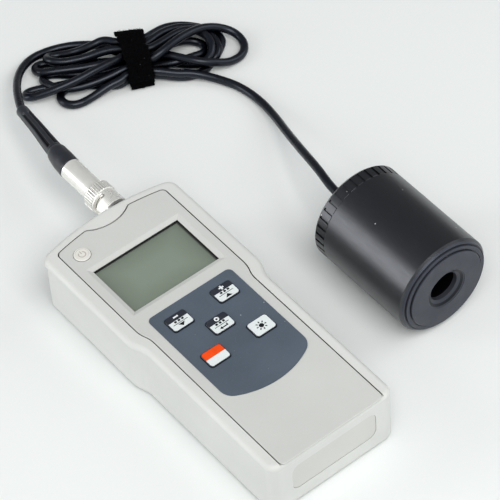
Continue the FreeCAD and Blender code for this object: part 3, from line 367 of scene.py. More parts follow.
def film_finish(name, rgb):
    """Printed keypad film: fine leathery grain, slow cloudy tone, small scuffs and specks."""
    f = Finish(name, 0.42, specular=0.35)
    body = f.mix(f.drift(28.0, 4.0), shade(rgb, 0.86), shade(rgb, 1.12))
    body = f.over(body, f.spread(f.noise(1900.0, 3.0), 0.58, 0.74), 0.35, shade(rgb, 1.55))
    body = f.over(body, f.specks(420.0, 0.05), 0.5, colour(185, 190, 195))
    f.paint(f.over(body, f.edges(0.0005), 0.6, colour(60, 78, 98)))
    f.rough(f.drift(90.0, 4.0, 0.34, 0.52))
    fine = f.bump(f.noise(1700.0, 3.0), 0.5, 0.00005)
    f.normal(f.bump(f.noise(380.0, 2.0), 0.2, 0.00010, fine))
    return f.material


def display_finish(name, box):
    """The unlit liquid crystal: grey-green, painted shade darker towards its border, a painted
    black shadow line at its edge, fine cell pattern.
    """
    low, high = box
    half = ((high.x - low.x) / 2, (high.y - low.y) / 2)
    f = Finish(name, 0.30, specular=0.3)
    edge = rounded_field(f, middle_of(box), half, 1.2 * MM)[0]
    body = f.mix(f.drift(35.0, 4.0), colour(136, 145, 135), colour(140, 149, 139))
    # painted shade: darker towards the border
    body = f.mix(f.spread(edge, -0.0145, -0.0030), body, colour(124, 130, 120))
    # painted shadow: a black band at the edge stands in for the shadow line under the window
    body = f.mix(f.spread(edge, -0.0029, -0.0022), body, colour(12, 13, 14))
    cells = f.add("ShaderNodeTexChecker")
    cells.inputs["Scale"].default_value = 2600.0
    f.link(f.place, cells.inputs["Vector"])
    f.paint(f.over(body, cells.outputs["Fac"], 0.05, colour(150, 162, 150)))
    f.normal(f.bump(f.noise(2200.0, 2.0), 0.15, 0.00003))
    return f.material


def glass_finish(name, rgb, roughness):
    """Clear glass or acrylic with faint smears."""
    f = Finish(name, roughness, specular=0.4)
    f.shader.inputs["Transmission Weight"].default_value = 1.0
    f.shader.inputs["IOR"].default_value = 1.45
    f.paint(f.mix(f.drift(60.0, 3.0), rgb, shade(rgb, 0.97)))
    smear = f.noise(45.0, 5.0, (1.0, 3.0, 1.0))
    f.rough(f.spread(smear, 0.45, 0.8, roughness, roughness + 0.06))
    f.normal(f.bump(f.noise(160.0, 2.0), 0.04, 0.00005))
    return f.material


def window_finish(name):
    """The display window: nearly clear, seen mostly by its gloss and faint smears."""
    f = Finish(name, 0.12, specular=0.3)
    f.paint(f.mix(f.drift(60.0, 3.0), colour(200, 206, 200), colour(212, 216, 210)))
    f.rough(f.spread(f.noise(70.0, 5.0, (1.0, 2.5, 1.0)), 0.4, 0.8, 0.08, 0.24))
    f.normal(f.bump(f.noise(120.0, 2.0), 0.05, 0.00005))
    clear = f.add("ShaderNodeBsdfTransparent")
    clear.inputs["Color"].default_value = (0.97, 0.985, 0.97, 1.0)
    fresnel = f.add("ShaderNodeFresnel")
    fresnel.inputs["IOR"].default_value = 1.38
    blend = f.add("ShaderNodeMixShader")
    f.link(f.math("ADD", f.math("MULTIPLY", fresnel.outputs[0], 0.4), 0.01), blend.inputs[0])
    f.link(clear.outputs[0], blend.inputs[1])
    f.link(f.shader.outputs[0], blend.inputs[2])
    f.link(blend.outputs[0], f.tree.nodes["Material Output"].inputs["Surface"])
    return f.material


def turned_face(name, rgb, centre, shaded_groove=None):
    """A dark moulded disc with faint rings about its own axis, which runs along Y, with painted
    shade in its crevices and, if asked, a black band of painted groove shade.
    """
    f = Finish(name, 0.40, specular=0.42)
    f.gloss_tint(COOL_GLOSS)
    body = f.mix(f.drift(70.0, 4.0), shade(rgb, 0.9), shade(rgb, 1.12))
    body = f.over(body, f.edges(0.0005), 0.5, shade(rgb, 1.9))
    body = f.over(body, f.specks(420.0, 0.03), 0.5, colour(190, 190, 190))
    # painted shade: crevices darkened by occlusion
    body = f.over(body, f.crevices(0.0016), 0.9, colour(12, 13, 16))
    shift = f.add("ShaderNodeMapping")
    shift.inputs["Location"].default_value = (-centre[0], 0.0, -centre[2])
    shift.inputs["Scale"].default_value = (1.0, 0.0, 1.0)
    f.link(f.place, shift.inputs["Vector"])
    length = f.add("ShaderNodeVectorMath", operation="LENGTH")
    f.link(shift.outputs["Vector"], length.inputs[0])
    radius = length.outputs["Value"]
    # painted shade: the band between the two radii is painted black as the groove's shadow
    if shaded_groove:
        beyond = f.math("GREATER_THAN", radius, shaded_groove[0])
        within = f.math("LESS_THAN", radius, shaded_groove[1])
        body = f.mix(f.math("MULTIPLY", beyond, within), body, BORE_BLACK_AND_SHADE)
    f.paint(body)
    rings = f.math("SINE", f.math("MULTIPLY", radius, 21000.0))
    fine = f.bump(f.noise(2600.0, 2.0), 0.25, 0.00004)
    f.normal(f.bump(rings, 0.12, 0.00003, fine))
    f.rough(f.drift(130.0, 3.0, 0.34, 0.48))
    return f.material


def barrel_finish(name, rgb):
    """Satin black moulding with lengthwise polish marks, a little dust and rubbed edges."""
    f = Finish(name, 0.33, specular=1.0)
    f.gloss_tint(BARREL_GLOSS)
    body = f.mix(f.drift(40.0, 4.0), shade(rgb, 0.85), shade(rgb, 1.15))
    body = f.over(body, f.edges(0.0005), 0.55, shade(rgb, 2.6))
    f.paint(f.over(body, f.specks(420.0, 0.02), 0.7, colour(200, 200, 200)))
    drawn = f.noise(1300.0, 3.0, (1.0, 0.12, 1.0))
    f.rough(f.spread(drawn, NOISE_LOW, NOISE_HIGH, 0.31, 0.37))
    fine = f.bump(f.noise(2800.0, 2.0), 0.30, 0.00004)
    f.normal(f.bump(drawn, 0.04, 0.00002, fine))
    return f.material


def striped_rubber(name):
    """A display's contact strip: thin dark and pale layers side by side."""
    f = Finish(name, 0.6, specular=0.3)
    wave = f.math("SINE", f.math("MULTIPLY", f.axes()[0], 15000.0))
    f.paint(f.mix(f.spread(wave, -0.2, 0.2), colour(40, 38, 40), colour(190, 120, 130)))
    f.normal(f.bump(wave, 0.2, 0.00004))
    return f.material


def board_finish(name):
    """Green solder mask over copper tracks and scattered pads."""
    f = Finish(name, 0.28, specular=0.5)
    tracks = f.add("ShaderNodeTexBrick")
    tracks.inputs["Scale"].default_value = 260.0
    tracks.inputs["Mortar Size"].default_value = 0.03
    f.link(f.place, tracks.inputs["Vector"])
    body = f.mix(tracks.outputs["Fac"], colour(20, 92, 52), colour(40, 128, 70))
    f.paint(f.mix(f.specks(520.0, 0.25), body, colour(196, 172, 110)))
    f.normal(f.bump(tracks.outputs["Fac"], 0.3, 0.00004))
    return f.material


def cell_finish(name, box):
    """Battery jackets: dark printed film with a coppery band at one end of each cell."""
    high = box[1]
    f = Finish(name, 0.26, metallic=0.6, specular=0.5)
    band = f.spread(f.axes()[1], high.y - 0.012, high.y - 0.0118)
    jacket = f.mix(f.drift(80.0, 3.0), colour(40, 42, 48), colour(56, 58, 66))
    f.paint(f.mix(band, jacket, colour(178, 112, 66)))
    f.rough(f.drift(300.0, 3.0, 0.2, 0.34))
    return f.material


def fuzz_finish(name, rgb):
    """Woven loop pile: almost black, deep and lint-flecked."""
    f = Finish(name, 0.95, specular=0.03)
    f.shader.inputs["Sheen Weight"].default_value = 0.03
    f.shader.inputs["Sheen Roughness"].default_value = 0.5
    f.shader.inputs["Sheen Tint"].default_value = (0.35, 0.36, 0.40, 1.0)
    clump = f.spread(f.noise(1400.0, 5.0), 0.35, 0.7)
    body = f.mix(clump, shade(rgb, 0.5), shade(rgb, 2.2))
    f.paint(f.over(body, f.specks(900.0, 0.03), 0.5, colour(120, 120, 125)))
    fine = f.bump(f.noise(2600.0, 4.0), 0.8, 0.00018)
    f.normal(f.bump(f.noise(700.0, 3.0), 0.6, 0.00030, fine))
    return f.material


def lead_finish(name, rgb):
    """The lead's soft sheath: satin, faintly uneven and scuffed."""
    f = Finish(name, 0.30, specular=0.44)
    f.gloss_tint(COOL_GLOSS)
    body = f.mix(f.drift(120.0, 4.0), shade(rgb, 0.8), shade(rgb, 1.25))
    body = f.over(body, f.spread(f.noise(600.0, 5.0), 0.60, 0.78), 0.3, shade(rgb, 2.6))
    # painted shade: deep gaps between strands painted black
    f.paint(f.paint_gap_shade(body, 0.006))
    f.rough(f.drift(260.0, 3.0, 0.24, 0.36))
    fine = f.bump(f.noise(3000.0, 2.0), 0.3, 0.00004)
    f.normal(f.bump(f.noise(330.0, 2.0), 0.25, 0.00008, fine))
    return f.material


def boot_finish(name, rgb):
    """The strain relief's rubber: satin ridges, near-black slots painted as shade, faint mould
    bloom.
    """
    f = Finish(name, 0.34, specular=0.75)
    bloom = f.spread(f.noise(160.0, 4.0), 0.35, 0.7)
    body = f.mix(bloom, shade(rgb, 0.8), shade(rgb, 1.3))
    # painted shade: slots and deep gaps painted black
    f.paint(f.paint_gap_shade(body, 0.0028))
    f.rough(f.drift(220.0, 3.0, 0.28, 0.40))
    f.normal(f.bump(f.noise(2800.0, 2.0), 0.3, 0.00004))
    return f.material


def print_finish(name, rgb):
    """Screen-printed ink: slightly glossy, with tiny pinholes."""
    f = Finish(name, 0.3, specular=0.4)
    holes = f.spread(f.noise(2600.0, 3.0), 0.66, 0.74)
    f.paint(f.mix(f.math("MULTIPLY", holes, 0.3), rgb, colour(130, 132, 136)))
    f.normal(f.bump(f.noise(2000.0, 2.0), 0.2, 0.00002))
    return f.material


def floor_finish():
    f = Finish("floor_paper", 0.85, specular=0.1)
    f.paint(f.mix(f.drift(3.0, 2.0), (0.80, 0.82, 0.815, 1.0), (0.82, 0.84, 0.835, 1.0)))
    f.normal(f.bump(f.noise(900.0, 2.0), 0.05, 0.00005))
    return f.material


def finish_nodes():
    """Every CAD node that stays in view or inside gets its own procedural finish."""
    barrel_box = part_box("sensor_barrel")
    axis = (barrel_box[0] + barrel_box[1]) / 2
    by_node = {
        "rear_shell": moulded("shell", colour(213, 214, 211), 0.48, crevice_shade=0.8),
        "front_frame": moulded("rim", colour(211, 212, 209), 0.42, crevice_shade=0.9),
        "front_cover": moulded("cover", colour(199, 200, 197), 0.50, grain=2200.0, depth=0.45,
                               crevice_shade=0.9),
        "end_plate": moulded("plate", colour(205, 205, 201), 0.55, grain=1800.0, depth=0.3,
                             crevice_shade=0.5),
        "battery_door": moulded("door", colour(212, 213, 210), 0.48, crevice_shade=0.8),
        "display_window": window_finish("window"),
        "lcd_panel": display_finish("display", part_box("lcd_panel")),
        "lcd_edge_strips": striped_rubber("contact_strip"),
        "lcd_backlight": glass_finish("light_guide", colour(225, 230, 232), 0.3),
        "display_gasket": rubbery("gasket", colour(6, 7, 8), 0.7, specular=0.1),
        "keypad_overlay": film_finish("keypad", colour(82, 92, 104)),
        "key_down": key_finish("cap_down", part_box("key_down"), BAND_BLACK, 0.40),
        "key_up": key_finish("cap_up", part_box("key_up"), BAND_BLACK, 0.40),
        "key_enter": key_finish("cap_enter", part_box("key_enter"), BAND_BLACK, 0.40),
        "key_record": key_finish("cap_record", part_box("key_record"), BAND_ORANGE, 0.50),
        "key_backlight": key_finish("cap_backlight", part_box("key_backlight")),
        "power_button": moulded("power_cap", colour(222, 220, 214), 0.40, crevice_shade=0.9),
        "key_switches": moulded("switch_black", colour(35, 35, 38), 0.5),
        "main_board": board_finish("board"),
        "sensor_board": board_finish("small_board"),
        "board_parts": moulded("chip_black", colour(32, 33, 36), 0.45),
        "batteries": cell_finish("cells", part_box("batteries")),
        "bnc_insulator": moulded("socket_insulator", INSULATOR_WHITE, 0.4),
        "plug_insulator": moulded("plug_white", INSULATOR_WHITE, 0.4),
        "bnc_contact": plated("contact_gold", GOLD, 0.2),
        "plug_pin": plated("pin_gold", GOLD, 0.2),
        "bnc_socket": plated("socket_nickel", NICKEL, 0.18),
        "bnc_nut": plated("back_nut", NICKEL, 0.25),
        "coupling_nut": knurled("nut_nickel", (0.96, 0.95, 0.91, 1.0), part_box("coupling_nut")),
        "plug_sleeve": plated("sleeve_nickel", (0.95, 0.94, 0.90, 1.0), 0.12,
                              stretch=(1.0, 0.05, 1.0), shine=0.5),
        "bnc_washer": plated("washer", STEEL, 0.3),
        "battery_springs": plated("spring_steel", STEEL, 0.25),
        "battery_contacts": plated("contact_steel", STEEL, 0.3),
        "case_screws": plated("case_screw_steel", SCREW_STEEL, 0.3),
        "board_screws": plated("board_screw_steel", SCREW_STEEL, 0.3),
        "sensor_barrel": barrel_finish("barrel", colour(10, 11, 15)),
        "sensor_rear_cap": barrel_finish("rear_cap", colour(9, 10, 14)),
        "sensor_face_plate": turned_face("face", colour(52, 54, 62), axis),
        # the band between these radii is painted black as the groove's shade
        "aperture_rim": turned_face("rim_ring", colour(52, 54, 61), axis, (0.0087, 0.0098)),
        "aperture_tube": rubbery("bore", BORE_BLACK_AND_SHADE, 0.8, specular=0.03),
        "lens_ring": rubbery("lens_seat", colour(5, 5, 6), 0.7, specular=0.1),
        "sensor_lens": glass_finish("lens", (0.9, 0.94, 0.97, 1.0), 0.02),
        "light_cell": moulded("cell", colour(120, 92, 80), 0.5),
        "sensor_wires": rubbery("wire", colour(60, 20, 20), 0.5),
        "cord_gland": rubbery("gland", colour(24, 26, 31), 0.45),
    }
    for name, material in by_node.items():
        for place in nodes[name].material_slots:
            place.material = material


# ---------------------------------------------------------------- helpers for pieces

def as_object(name, mesh, material, body, smooth=True):
    """A mesh piece: finished and riding on its body."""
    thing = bpy.data.objects.new(name, mesh)
    bpy.context.scene.collection.objects.link(thing)
    mesh.materials.append(material)
    for polygon in mesh.polygons:
        polygon.use_smooth = smooth
    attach(thing, body)
    return thing


def from_bmesh(name, shape):
    """A mesh from a finished bmesh, with its faces turned outwards."""
    mesh = bpy.data.meshes.new(name)
    bmesh.ops.recalc_face_normals(shape, faces=shape.faces)
    shape.to_mesh(mesh)
    shape.free()
    return mesh


def skin(shape, rings, caps=True):
    """Faces between closed rings of points, each ring as long as the next."""
    made = [[shape.verts.new(point) for point in ring] for ring in rings]
    count = len(made[0])
    for first, second in zip(made, made[1:]):
        for i in range(count):
            j = (i + 1) % count
            shape.faces.new((first[i], first[j], second[j], second[i]))
    if caps:
        shape.faces.new(list(reversed(made[0])))
        shape.faces.new(made[-1])


def plate(shape, outline, low, high):
    """A thin flat plate of any outline, its rim slightly drawn in at the top."""
    middle = Vector((0.0, 0.0))
    for point in outline:
        middle += Vector(point) / len(outline)
    top = [middle + (Vector(point) - middle) * 0.97 for point in outline]
    rings = [
        [(x, y, low) for x, y in outline],
        [(x, y, low + 0.6 * (high - low)) for x, y in outline],
        [(x, y, high) for x, y in top],
    ]
    skin(shape, rings)


# ---------------------------------------------------------------- the lead

# every point of the lead and its tie is in millimetres
TIE = Vector((82.5, 166.4))
TIE_TURN = math.radians(-24.0)
TIE_MOUTH = 6.0
ALONG = Vector((math.cos(TIE_TURN), math.sin(TIE_TURN)))
ACROSS = Vector((-math.sin(TIE_TURN), math.cos(TIE_TURN)))


def back(points):
    return list(reversed(points))


def in_tie(along, across, height):
    """A point in the tie, given along and across the bundle from the tie's middle."""
    spot = TIE + along * ALONG + across * ACROSS
    return (spot.x, spot.y, height)


def rightward(left, right):
    """A strand through the tie from its left mouth to its right one."""
    return [in_tie(-TIE_MOUTH, *left), in_tie(TIE_MOUTH, *right)]


def leftward(left, right):
    """The same from its right mouth to its left one."""
    return back(rightward(left, right))


FROM_BOOT = [
    (16.4, 160.2, 17.3), (17.6, 167.1, 16.0), (20.4, 173.4, 14.5), (25.2, 182.6, 11.8),
    (31.4, 191.6, 8.6), (38.7, 198.6, 5.8), (47.0, 203.0, 3.4), (56.0, 203.0, 2.2),
    (64.8, 199.8, 2.1), (71.8, 194.8, 2.4), (77.6, 188.6, 3.0),
]
# left-hand turns, each from the tie out along its front strand and back
LEFT_TOP = [
    (73.0, 179.3, 8.8), (66.5, 182.4, 7.0), (60.0, 185.8, 6.2), (54.6, 189.2, 6.0),
    (51.8, 192.4, 6.2), (51.2, 196.2, 5.0), (53.6, 198.8, 3.2), (58.0, 197.4, 2.2),
    (63.4, 192.8, 3.6), (67.0, 189.0, 6.2), (72.0, 186.4, 8.4), (77.4, 184.6, 9.8),
]
LEFT_THIRD = [
    (67.2, 176.6, 5.4), (59.7, 180.4, 5.2), (52.5, 184.8, 5.4), (46.8, 188.4, 5.2),
    (43.6, 191.4, 4.6), (43.6, 195.4, 3.4), (46.4, 198.2, 2.2), (51.0, 196.8, 2.1),
    (57.0, 192.0, 2.1), (66.0, 183.8, 2.1),
]
LEFT_FOURTH = [
    (66.0, 166.4, 5.6), (55.2, 169.8, 4.6), (48.0, 173.4, 4.6), (43.4, 178.2, 4.8),
    (42.2, 184.4, 4.0), (43.2, 189.4, 2.1), (48.0, 190.0, 2.1), (52.5, 185.4, 2.1),
    (58.5, 180.2, 2.1), (66.5, 174.6, 2.1),
]
LEFT_LONG = [
    (63.5, 170.6, 10.0), (52.5, 171.8, 9.0), (43.5, 174.2, 7.8), (36.0, 177.8, 5.8),
    (31.4, 180.6, 4.8), (29.9, 183.8, 3.4), (32.4, 187.0, 2.1), (38.0, 185.2, 2.1),
    (44.0, 181.8, 2.1), (51.5, 178.6, 2.1), (58.0, 175.4, 2.1), (66.5, 170.6, 2.1),
]
LEFT_LOWEST = [
    (69.5, 160.8, 5.6), (64.0, 162.6, 4.6), (54.5, 163.8, 2.1), (46.4, 164.2, 2.1),
    (42.0, 168.4, 2.1), (42.4, 174.2, 2.1), (47.6, 177.0, 2.1), (54.6, 174.0, 2.1),
    (61.4, 168.4, 2.1), (68.4, 161.4, 2.1),
]
# right-hand turns, each from the tie out along its upper strand and back
RIGHT_OUTER = [
    (98.5, 174.0, 7.8), (106.0, 174.4, 6.8), (113.6, 171.4, 5.4), (119.8, 166.2, 3.8),
    (124.5, 159.6, 2.4), (124.2, 152.8, 2.1), (118.2, 148.4, 2.1), (111.2, 144.6, 2.1),
    (103.4, 142.0, 2.1), (94.5, 145.2, 2.1),
]
RIGHT_SECOND = [
    (99.5, 170.6, 9.2), (108.0, 170.0, 8.2), (115.0, 166.8, 6.8), (119.2, 160.6, 5.8),
    (119.7, 152.8, 5.4), (117.0, 146.6, 5.2), (112.0, 143.8, 3.6), (106.0, 150.0, 2.1),
    (98.0, 161.0, 2.1),
]
RIGHT_THIRD = [
    (96.5, 164.8, 9.8), (104.5, 165.4, 9.6), (111.3, 165.0, 8.6), (115.8, 161.4, 8.0),
    (116.9, 154.6, 8.0), (114.6, 148.4, 7.0), (109.6, 144.6, 5.0), (103.4, 146.6, 3.8),
    (97.0, 155.0, 2.8),
]
RIGHT_LONG = [
    (91.0, 158.0, 11.6), (99.0, 158.8, 12.4), (107.5, 159.6, 12.0), (117.0, 159.6, 10.4),
    (125.6, 157.4, 6.6), (130.9, 152.0, 3.6), (130.8, 144.4, 2.1), (125.3, 138.7, 2.1),
    (117.0, 138.2, 2.8), (109.5, 140.4, 6.0), (103.5, 143.8, 8.2), (98.6, 150.6, 8.6),
    (95.0, 158.5, 7.6),
]
RIGHT_SMALL = [
    (99.0, 164.8, 6.0), (107.0, 163.6, 4.8), (113.6, 160.8, 2.6), (115.4, 155.0, 2.1),
    (111.4, 150.6, 3.4), (104.4, 150.6, 5.8), (95.8, 152.8, 5.8),
]
TO_HEAD = [
    (92.2, 147.6, 4.8), (97.6, 143.6, 4.6), (103.2, 137.6, 3.2), (107.8, 130.6, 2.2),
    (111.2, 122.0, 2.1), (112.2, 109.0, 2.4), (109.4, 95.0, 5.0), (104.2, 79.5, 10.2),
    (98.6, 61.5, 16.6), (93.8, 43.5, 22.0), (89.5, 28.0, 24.2), (89.5, 16.5, 24.2),
]


LEAD = (
    FROM_BOOT + rightward((9.0, 3.4), (8.2, 3.4))
    + back(RIGHT_SECOND) + leftward((0.4, 9.8), (5.8, 9.0))
    + LEFT_LONG + rightward((-3.4, 3.4), (-3.6, 3.4))
    + back(RIGHT_SMALL) + leftward((4.2, 3.4), (4.2, 4.4))
    + back(LEFT_THIRD) + rightward((2.0, 6.4), (2.8, 6.8))
    + back(RIGHT_LONG) + leftward((-4.4, 6.8), (-5.2, 9.4))
    + LEFT_FOURTH + rightward((0.5, 3.4), (0.4, 3.4))
    + back(RIGHT_THIRD) + leftward((6.4, 9.6), (1.2, 9.9))
    + LEFT_TOP + rightward((9.9, 9.9), (9.4, 9.2))
    + RIGHT_OUTER + leftward((-8.2, 3.4), (-8.3, 3.4))
    + back(LEFT_LOWEST) + rightward((-8.2, 6.6), (-9.0, 6.2))
    + TO_HEAD
)
LEAD_DIAMETER = 4.0 * MM
CURVE_STEPS = 8


def add_curve(name, points, radius):
    """One smooth open NURBS line, of round section, led by points in millimetres."""
    data = bpy.data.curves.new(name, "CURVE")
    data.dimensions = "3D"
    line = data.splines.new("NURBS")
    line.points.add(len(points) - 1)
    for spot, point in zip(line.points, points):
        spot.co = (point[0] * MM, point[1] * MM, point[2] * MM, 1.0)
    line.order_u = 3
    line.use_endpoint_u = True
    line.resolution_u = CURVE_STEPS
    data.bevel_depth = radius
    data.bevel_resolution = 6
    data.use_fill_caps = True
    thing = bpy.data.objects.new(name, data)
    bpy.context.scene.collection.objects.link(thing)
    return thing


def line_of(thing):
    """The points of a curve's own line, with no thickness, in metres."""
    depth = thing.data.bevel_depth
    thing.data.bevel_depth = 0.0
    bpy.context.view_layer.update()
    graph = bpy.context.evaluated_depsgraph_get()
    mesh = bpy.data.meshes.new_from_object(thing.evaluated_get(graph))
    points = [vertex.co.copy() for vertex in mesh.vertices]
    bpy.data.meshes.remove(mesh)
    thing.data.bevel_depth = depth
    return points


def guide_line(points, steps=CURVE_STEPS):
    """The points of a smooth line that isn't itself a piece."""
    guide = add_curve("guide", points, 0.0)
    guide.data.splines[0].resolution_u = steps
    line = line_of(guide)
    bpy.data.objects.remove(guide)
    return line


def add_lead():
    lead = add_curve("lead", LEAD, LEAD_DIAMETER / 2)
    start = line_of(lead)[0]
    lead.data.materials.append(lead_finish("lead_sheath", colour(11, 13, 21)))
    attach(lead, "meter")
    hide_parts("cord_to_plug", "cord_hank", "cord_to_sensor")


# ---------------------------------------------------------------- strain relief

BOOT_LINE = [
    (9.5, 116.7, 23.0), (9.9, 123.0, 23.0), (11.1, 130.5, 22.4), (12.7, 140.0, 21.0),
    (14.8, 150.2, 19.2), (17.6, 167.1, 16.0),
]
# (share of the length, outer radius in mm, depth of the slots in mm)
BOOT_PROFILE = [
    (0.000, 5.15, 0.00), (0.010, 5.42, 0.00), (0.120, 5.30, 0.00), (0.230, 4.80, 0.00),
    (0.255, 4.50, 0.00), (0.268, 4.05, 0.00), (0.300, 3.92, 0.00), (0.318, 3.88, 1.50),
    (0.450, 3.62, 1.50), (0.600, 3.36, 1.35), (0.750, 3.14, 1.15), (0.880, 3.00, 1.00),
    (0.895, 3.00, 0.00), (0.960, 2.98, 0.00), (0.992, 2.95, 0.00), (1.000, 2.80, 0.00),
]
BOOT_SIDES = 96
BOOT_STATIONS = 90
# a short step after each row of the profile keeps its corners crisp
BOOT_CORNER = 0.002
BOOT_SLOTS = 6
BOOT_PHASE = 0.46
# the cosine at a slot's edge, and how much more takes it to full depth
SLOT_EDGE = 0.20
SLOT_WALL = 0.30


def frames_along(points):
    """Each point with two directions square to the line, turning as little as possible."""
    out = []
    side = Vector((1.0, 0.0, 0.0))
    for i, point in enumerate(points):
        ahead = points[min(i + 1, len(points) - 1)] - points[max(i - 1, 0)]
        ahead.normalize()
        side = (side - side.dot(ahead) * ahead).normalized()
        out.append((point, side, ahead.cross(side)))
    return out


def profile_at(share):
    """The boot's outer radius and slot depth at a share of its length."""
    for low, high in zip(BOOT_PROFILE, BOOT_PROFILE[1:]):
        if share <= high[0]:
            step = (share - low[0]) / (high[0] - low[0])
            return [a + (b - a) * step for a, b in zip(low[1:], high[1:])]
    return list(BOOT_PROFILE[-1][1:])


def spots_along(points, shares):
    """The places at those shares of a line's length."""
    ends = [0.0]
    for a, b in zip(points, points[1:]):
        ends.append(ends[-1] + (b - a).length)
    spots = []
    for share in shares:
        want = share * ends[-1]
        i = max(j for j, value in enumerate(ends) if value <= want + 1e-9)
        i = min(i, len(points) - 2)
        step = (want - ends[i]) / (ends[i + 1] - ends[i])
        spots.append(points[i].lerp(points[i + 1], step))
    return spots


def add_boot():
    corners = [row[0] for row in BOOT_PROFILE]
    shares = sorted({round(i / BOOT_STATIONS, 4) for i in range(BOOT_STATIONS + 1)}
                    | set(corners) | {share + BOOT_CORNER for share in corners[:-1]})
    spots = spots_along(guide_line(BOOT_LINE), shares)
    shape = bmesh.new()
    rings = []
    for share, (spot, side, other) in zip(shares, frames_along(spots)):
        radius, depth = profile_at(share)
        ring = []
        for k in range(BOOT_SIDES):
            angle = 2 * math.pi * k / BOOT_SIDES
            wave = math.cos(BOOT_SLOTS * angle + BOOT_PHASE)
            cut = min(max((wave - SLOT_EDGE) / SLOT_WALL, 0.0), 1.0)
            reach = (radius - depth * cut) * MM
            ring.append(spot + side * math.cos(angle) * reach + other * math.sin(angle) * reach)
        rings.append(ring)
    skin(shape, rings)
    boot = as_object("relief_boot", from_bmesh("relief_boot", shape),
                     boot_finish("boot_rubber", colour(29, 32, 40)), "meter")
    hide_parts("strain_relief")


# ---------------------------------------------------------------- hook-and-loop tie

# (across the bundle, height): the band from its tail over the top and back under the bundle
BAND_LINE = [
    (-13.6, 0.9), (-12.6, 1.5), (-12.0, 4.2), (-11.2, 7.6), (-8.8, 10.6), (-5.0, 12.3),
    (-0.5, 12.7), (4.6, 12.6), (9.4, 12.4), (12.6, 11.4), (13.4, 7.8), (12.6, 4.0),
    (11.0, 1.4), (7.0, 0.85), (0.0, 0.8), (-7.0, 0.85), (-10.4, 1.1),
]
# its overlap, which lies on the band and ends past the bundle's far side
LAP_LINE = [
    (-13.2, 5.2), (-12.6, 7.4), (-9.8, 11.4), (-5.2, 13.4), (-0.5, 13.8), (4.6, 13.7),
    (9.6, 13.6), (13.2, 13.0), (15.0, 11.8),
]
STRAP_STEPS = 10
STRAP_CELLS = 14
STRAP_HALF_WIDTH = 5.6
STRAP_LUMP = 0.16
STRAP_CROWN = 0.25
# the share of the strap's length after which its end is cut on a slant
SLANT_START = 0.7
# nothing of the strap goes lower than this
STRAP_FLOOR = 0.12


def strap_mesh(name, points, thick, seed, ragged, flare=0.0, slant=0.0):
    """A strap along that line: rings of points across it, wavering at its edges."""
    section = [(point.x / MM, point.y / MM)
               for point in guide_line([(a, z, 0.0) for a, z in points], STRAP_STEPS)]
    rng = random.Random(seed)
    shape = bmesh.new()
    rings = []
    last = len(section) - 1
    sway = [rng.uniform(-1, 1) for _ in section]
    for i, (across, height) in enumerate(section):
        run = (Vector(section[min(i + 1, last)]) - Vector(section[max(i - 1, 0)])).normalized()
        out = Vector((-run.y, run.x))
        share = i / last
        half_width = STRAP_HALF_WIDTH + flare * share * share + ragged * sway[i]
        cut_back = slant * max(share - SLANT_START, 0.0)
        outer, inner = [], []
        for j in range(STRAP_CELLS + 1):
            t = -1 + 2 * j / STRAP_CELLS
            lump = rng.uniform(-STRAP_LUMP, STRAP_LUMP)
            crown = STRAP_CROWN * (1 - t * t)
            for line, off in ((outer, thick / 2 + lump + crown), (inner, -thick / 2 + crown)):
                a = across + out.x * off - cut_back * (t + 1)
                z = max(height + out.y * off, STRAP_FLOOR)
                spot = TIE + (t * half_width) * ALONG + a * ACROSS
                line.append((spot.x * MM, spot.y * MM, z * MM))
        rings.append(outer + back(inner))
    skin(shape, rings)
    return from_bmesh(name, shape)


FIBRE_HALF_WIDTH = 0.05 * MM
FIBRE_FLOOR = 0.05 * MM


def add_fuzz(base, count, reach, seed, material):
    """Short curled fibres that stand on a strap, each a bent sliver."""
    rng = random.Random(seed)
    mesh = base.data
    faces = [face for face in mesh.polygons if face.area > 1e-9]
    weights = [face.area for face in faces]
    shape = bmesh.new()
    for face in rng.choices(faces, weights, k=count):
        corners = [mesh.vertices[i].co for i in face.vertices]
        mixers = [rng.random() for _ in corners]
        total = sum(mixers)
        root = sum((c * m / total for c, m in zip(corners, mixers)), Vector())
        lean = Vector((rng.uniform(-1, 1), rng.uniform(-1, 1), rng.uniform(-0.4, 1)))
        tip_way = (face.normal + lean * 0.9).normalized()
        tall = reach * rng.uniform(0.4, 1.0)
        side = tip_way.cross(Vector((rng.uniform(-1, 1), rng.uniform(-1, 1), 0.3))).normalized()
        bend = root + tip_way * tall * 0.6 + side * tall * 0.25
        tip = root + tip_way * tall * 0.8 + side * tall * 0.75
        if min(bend.z, tip.z) < FIBRE_FLOOR:
            continue
        thin = side * FIBRE_HALF_WIDTH
        points = [root - thin, root + thin, bend + thin, bend - thin, tip]
        made = [shape.verts.new(point) for point in points]
        shape.faces.new(made[:4])
        shape.faces.new((made[3], made[2], made[4]))
    name = base.name + "_fuzz"
    as_object(name, from_bmesh(name, shape), material, "meter", smooth=False)


def add_tie():
    pile = fuzz_finish("loop_pile", colour(4, 4, 5))
    inner = as_object("tie_band", strap_mesh("tie_band", BAND_LINE, 1.1, 3, 0.35),
                      pile, "meter")
    lap = strap_mesh("tie_lap", LAP_LINE, 1.3, 5, 0.6, flare=0.9, slant=3.6)
    outer = as_object("tie_lap", lap, pile, "meter")
    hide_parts("cord_tie")
    add_fuzz(inner, 3000, 0.85 * MM, 11, pile)
    add_fuzz(outer, 4500, 1.25 * MM, 12, pile)


# ---------------------------------------------------------------- printed symbols

# how far the ink stands out of the surface, and how deep it starts in it
INK_HEIGHT = 0.05 * MM
INK_DEPTH = 0.01 * MM
# a key's layout in mm above its middle: the sign in its band, the squares, the line between
SIGN_LEVEL = 2.6
SIGN_STROKE = 0.75
SQUARE_LEVEL = 0.15
RULE_LEVEL = -1.05
ARC_STEPS = 28
# the on/off button's top is dished by this much
BUTTON_DISH = 0.2 * MM


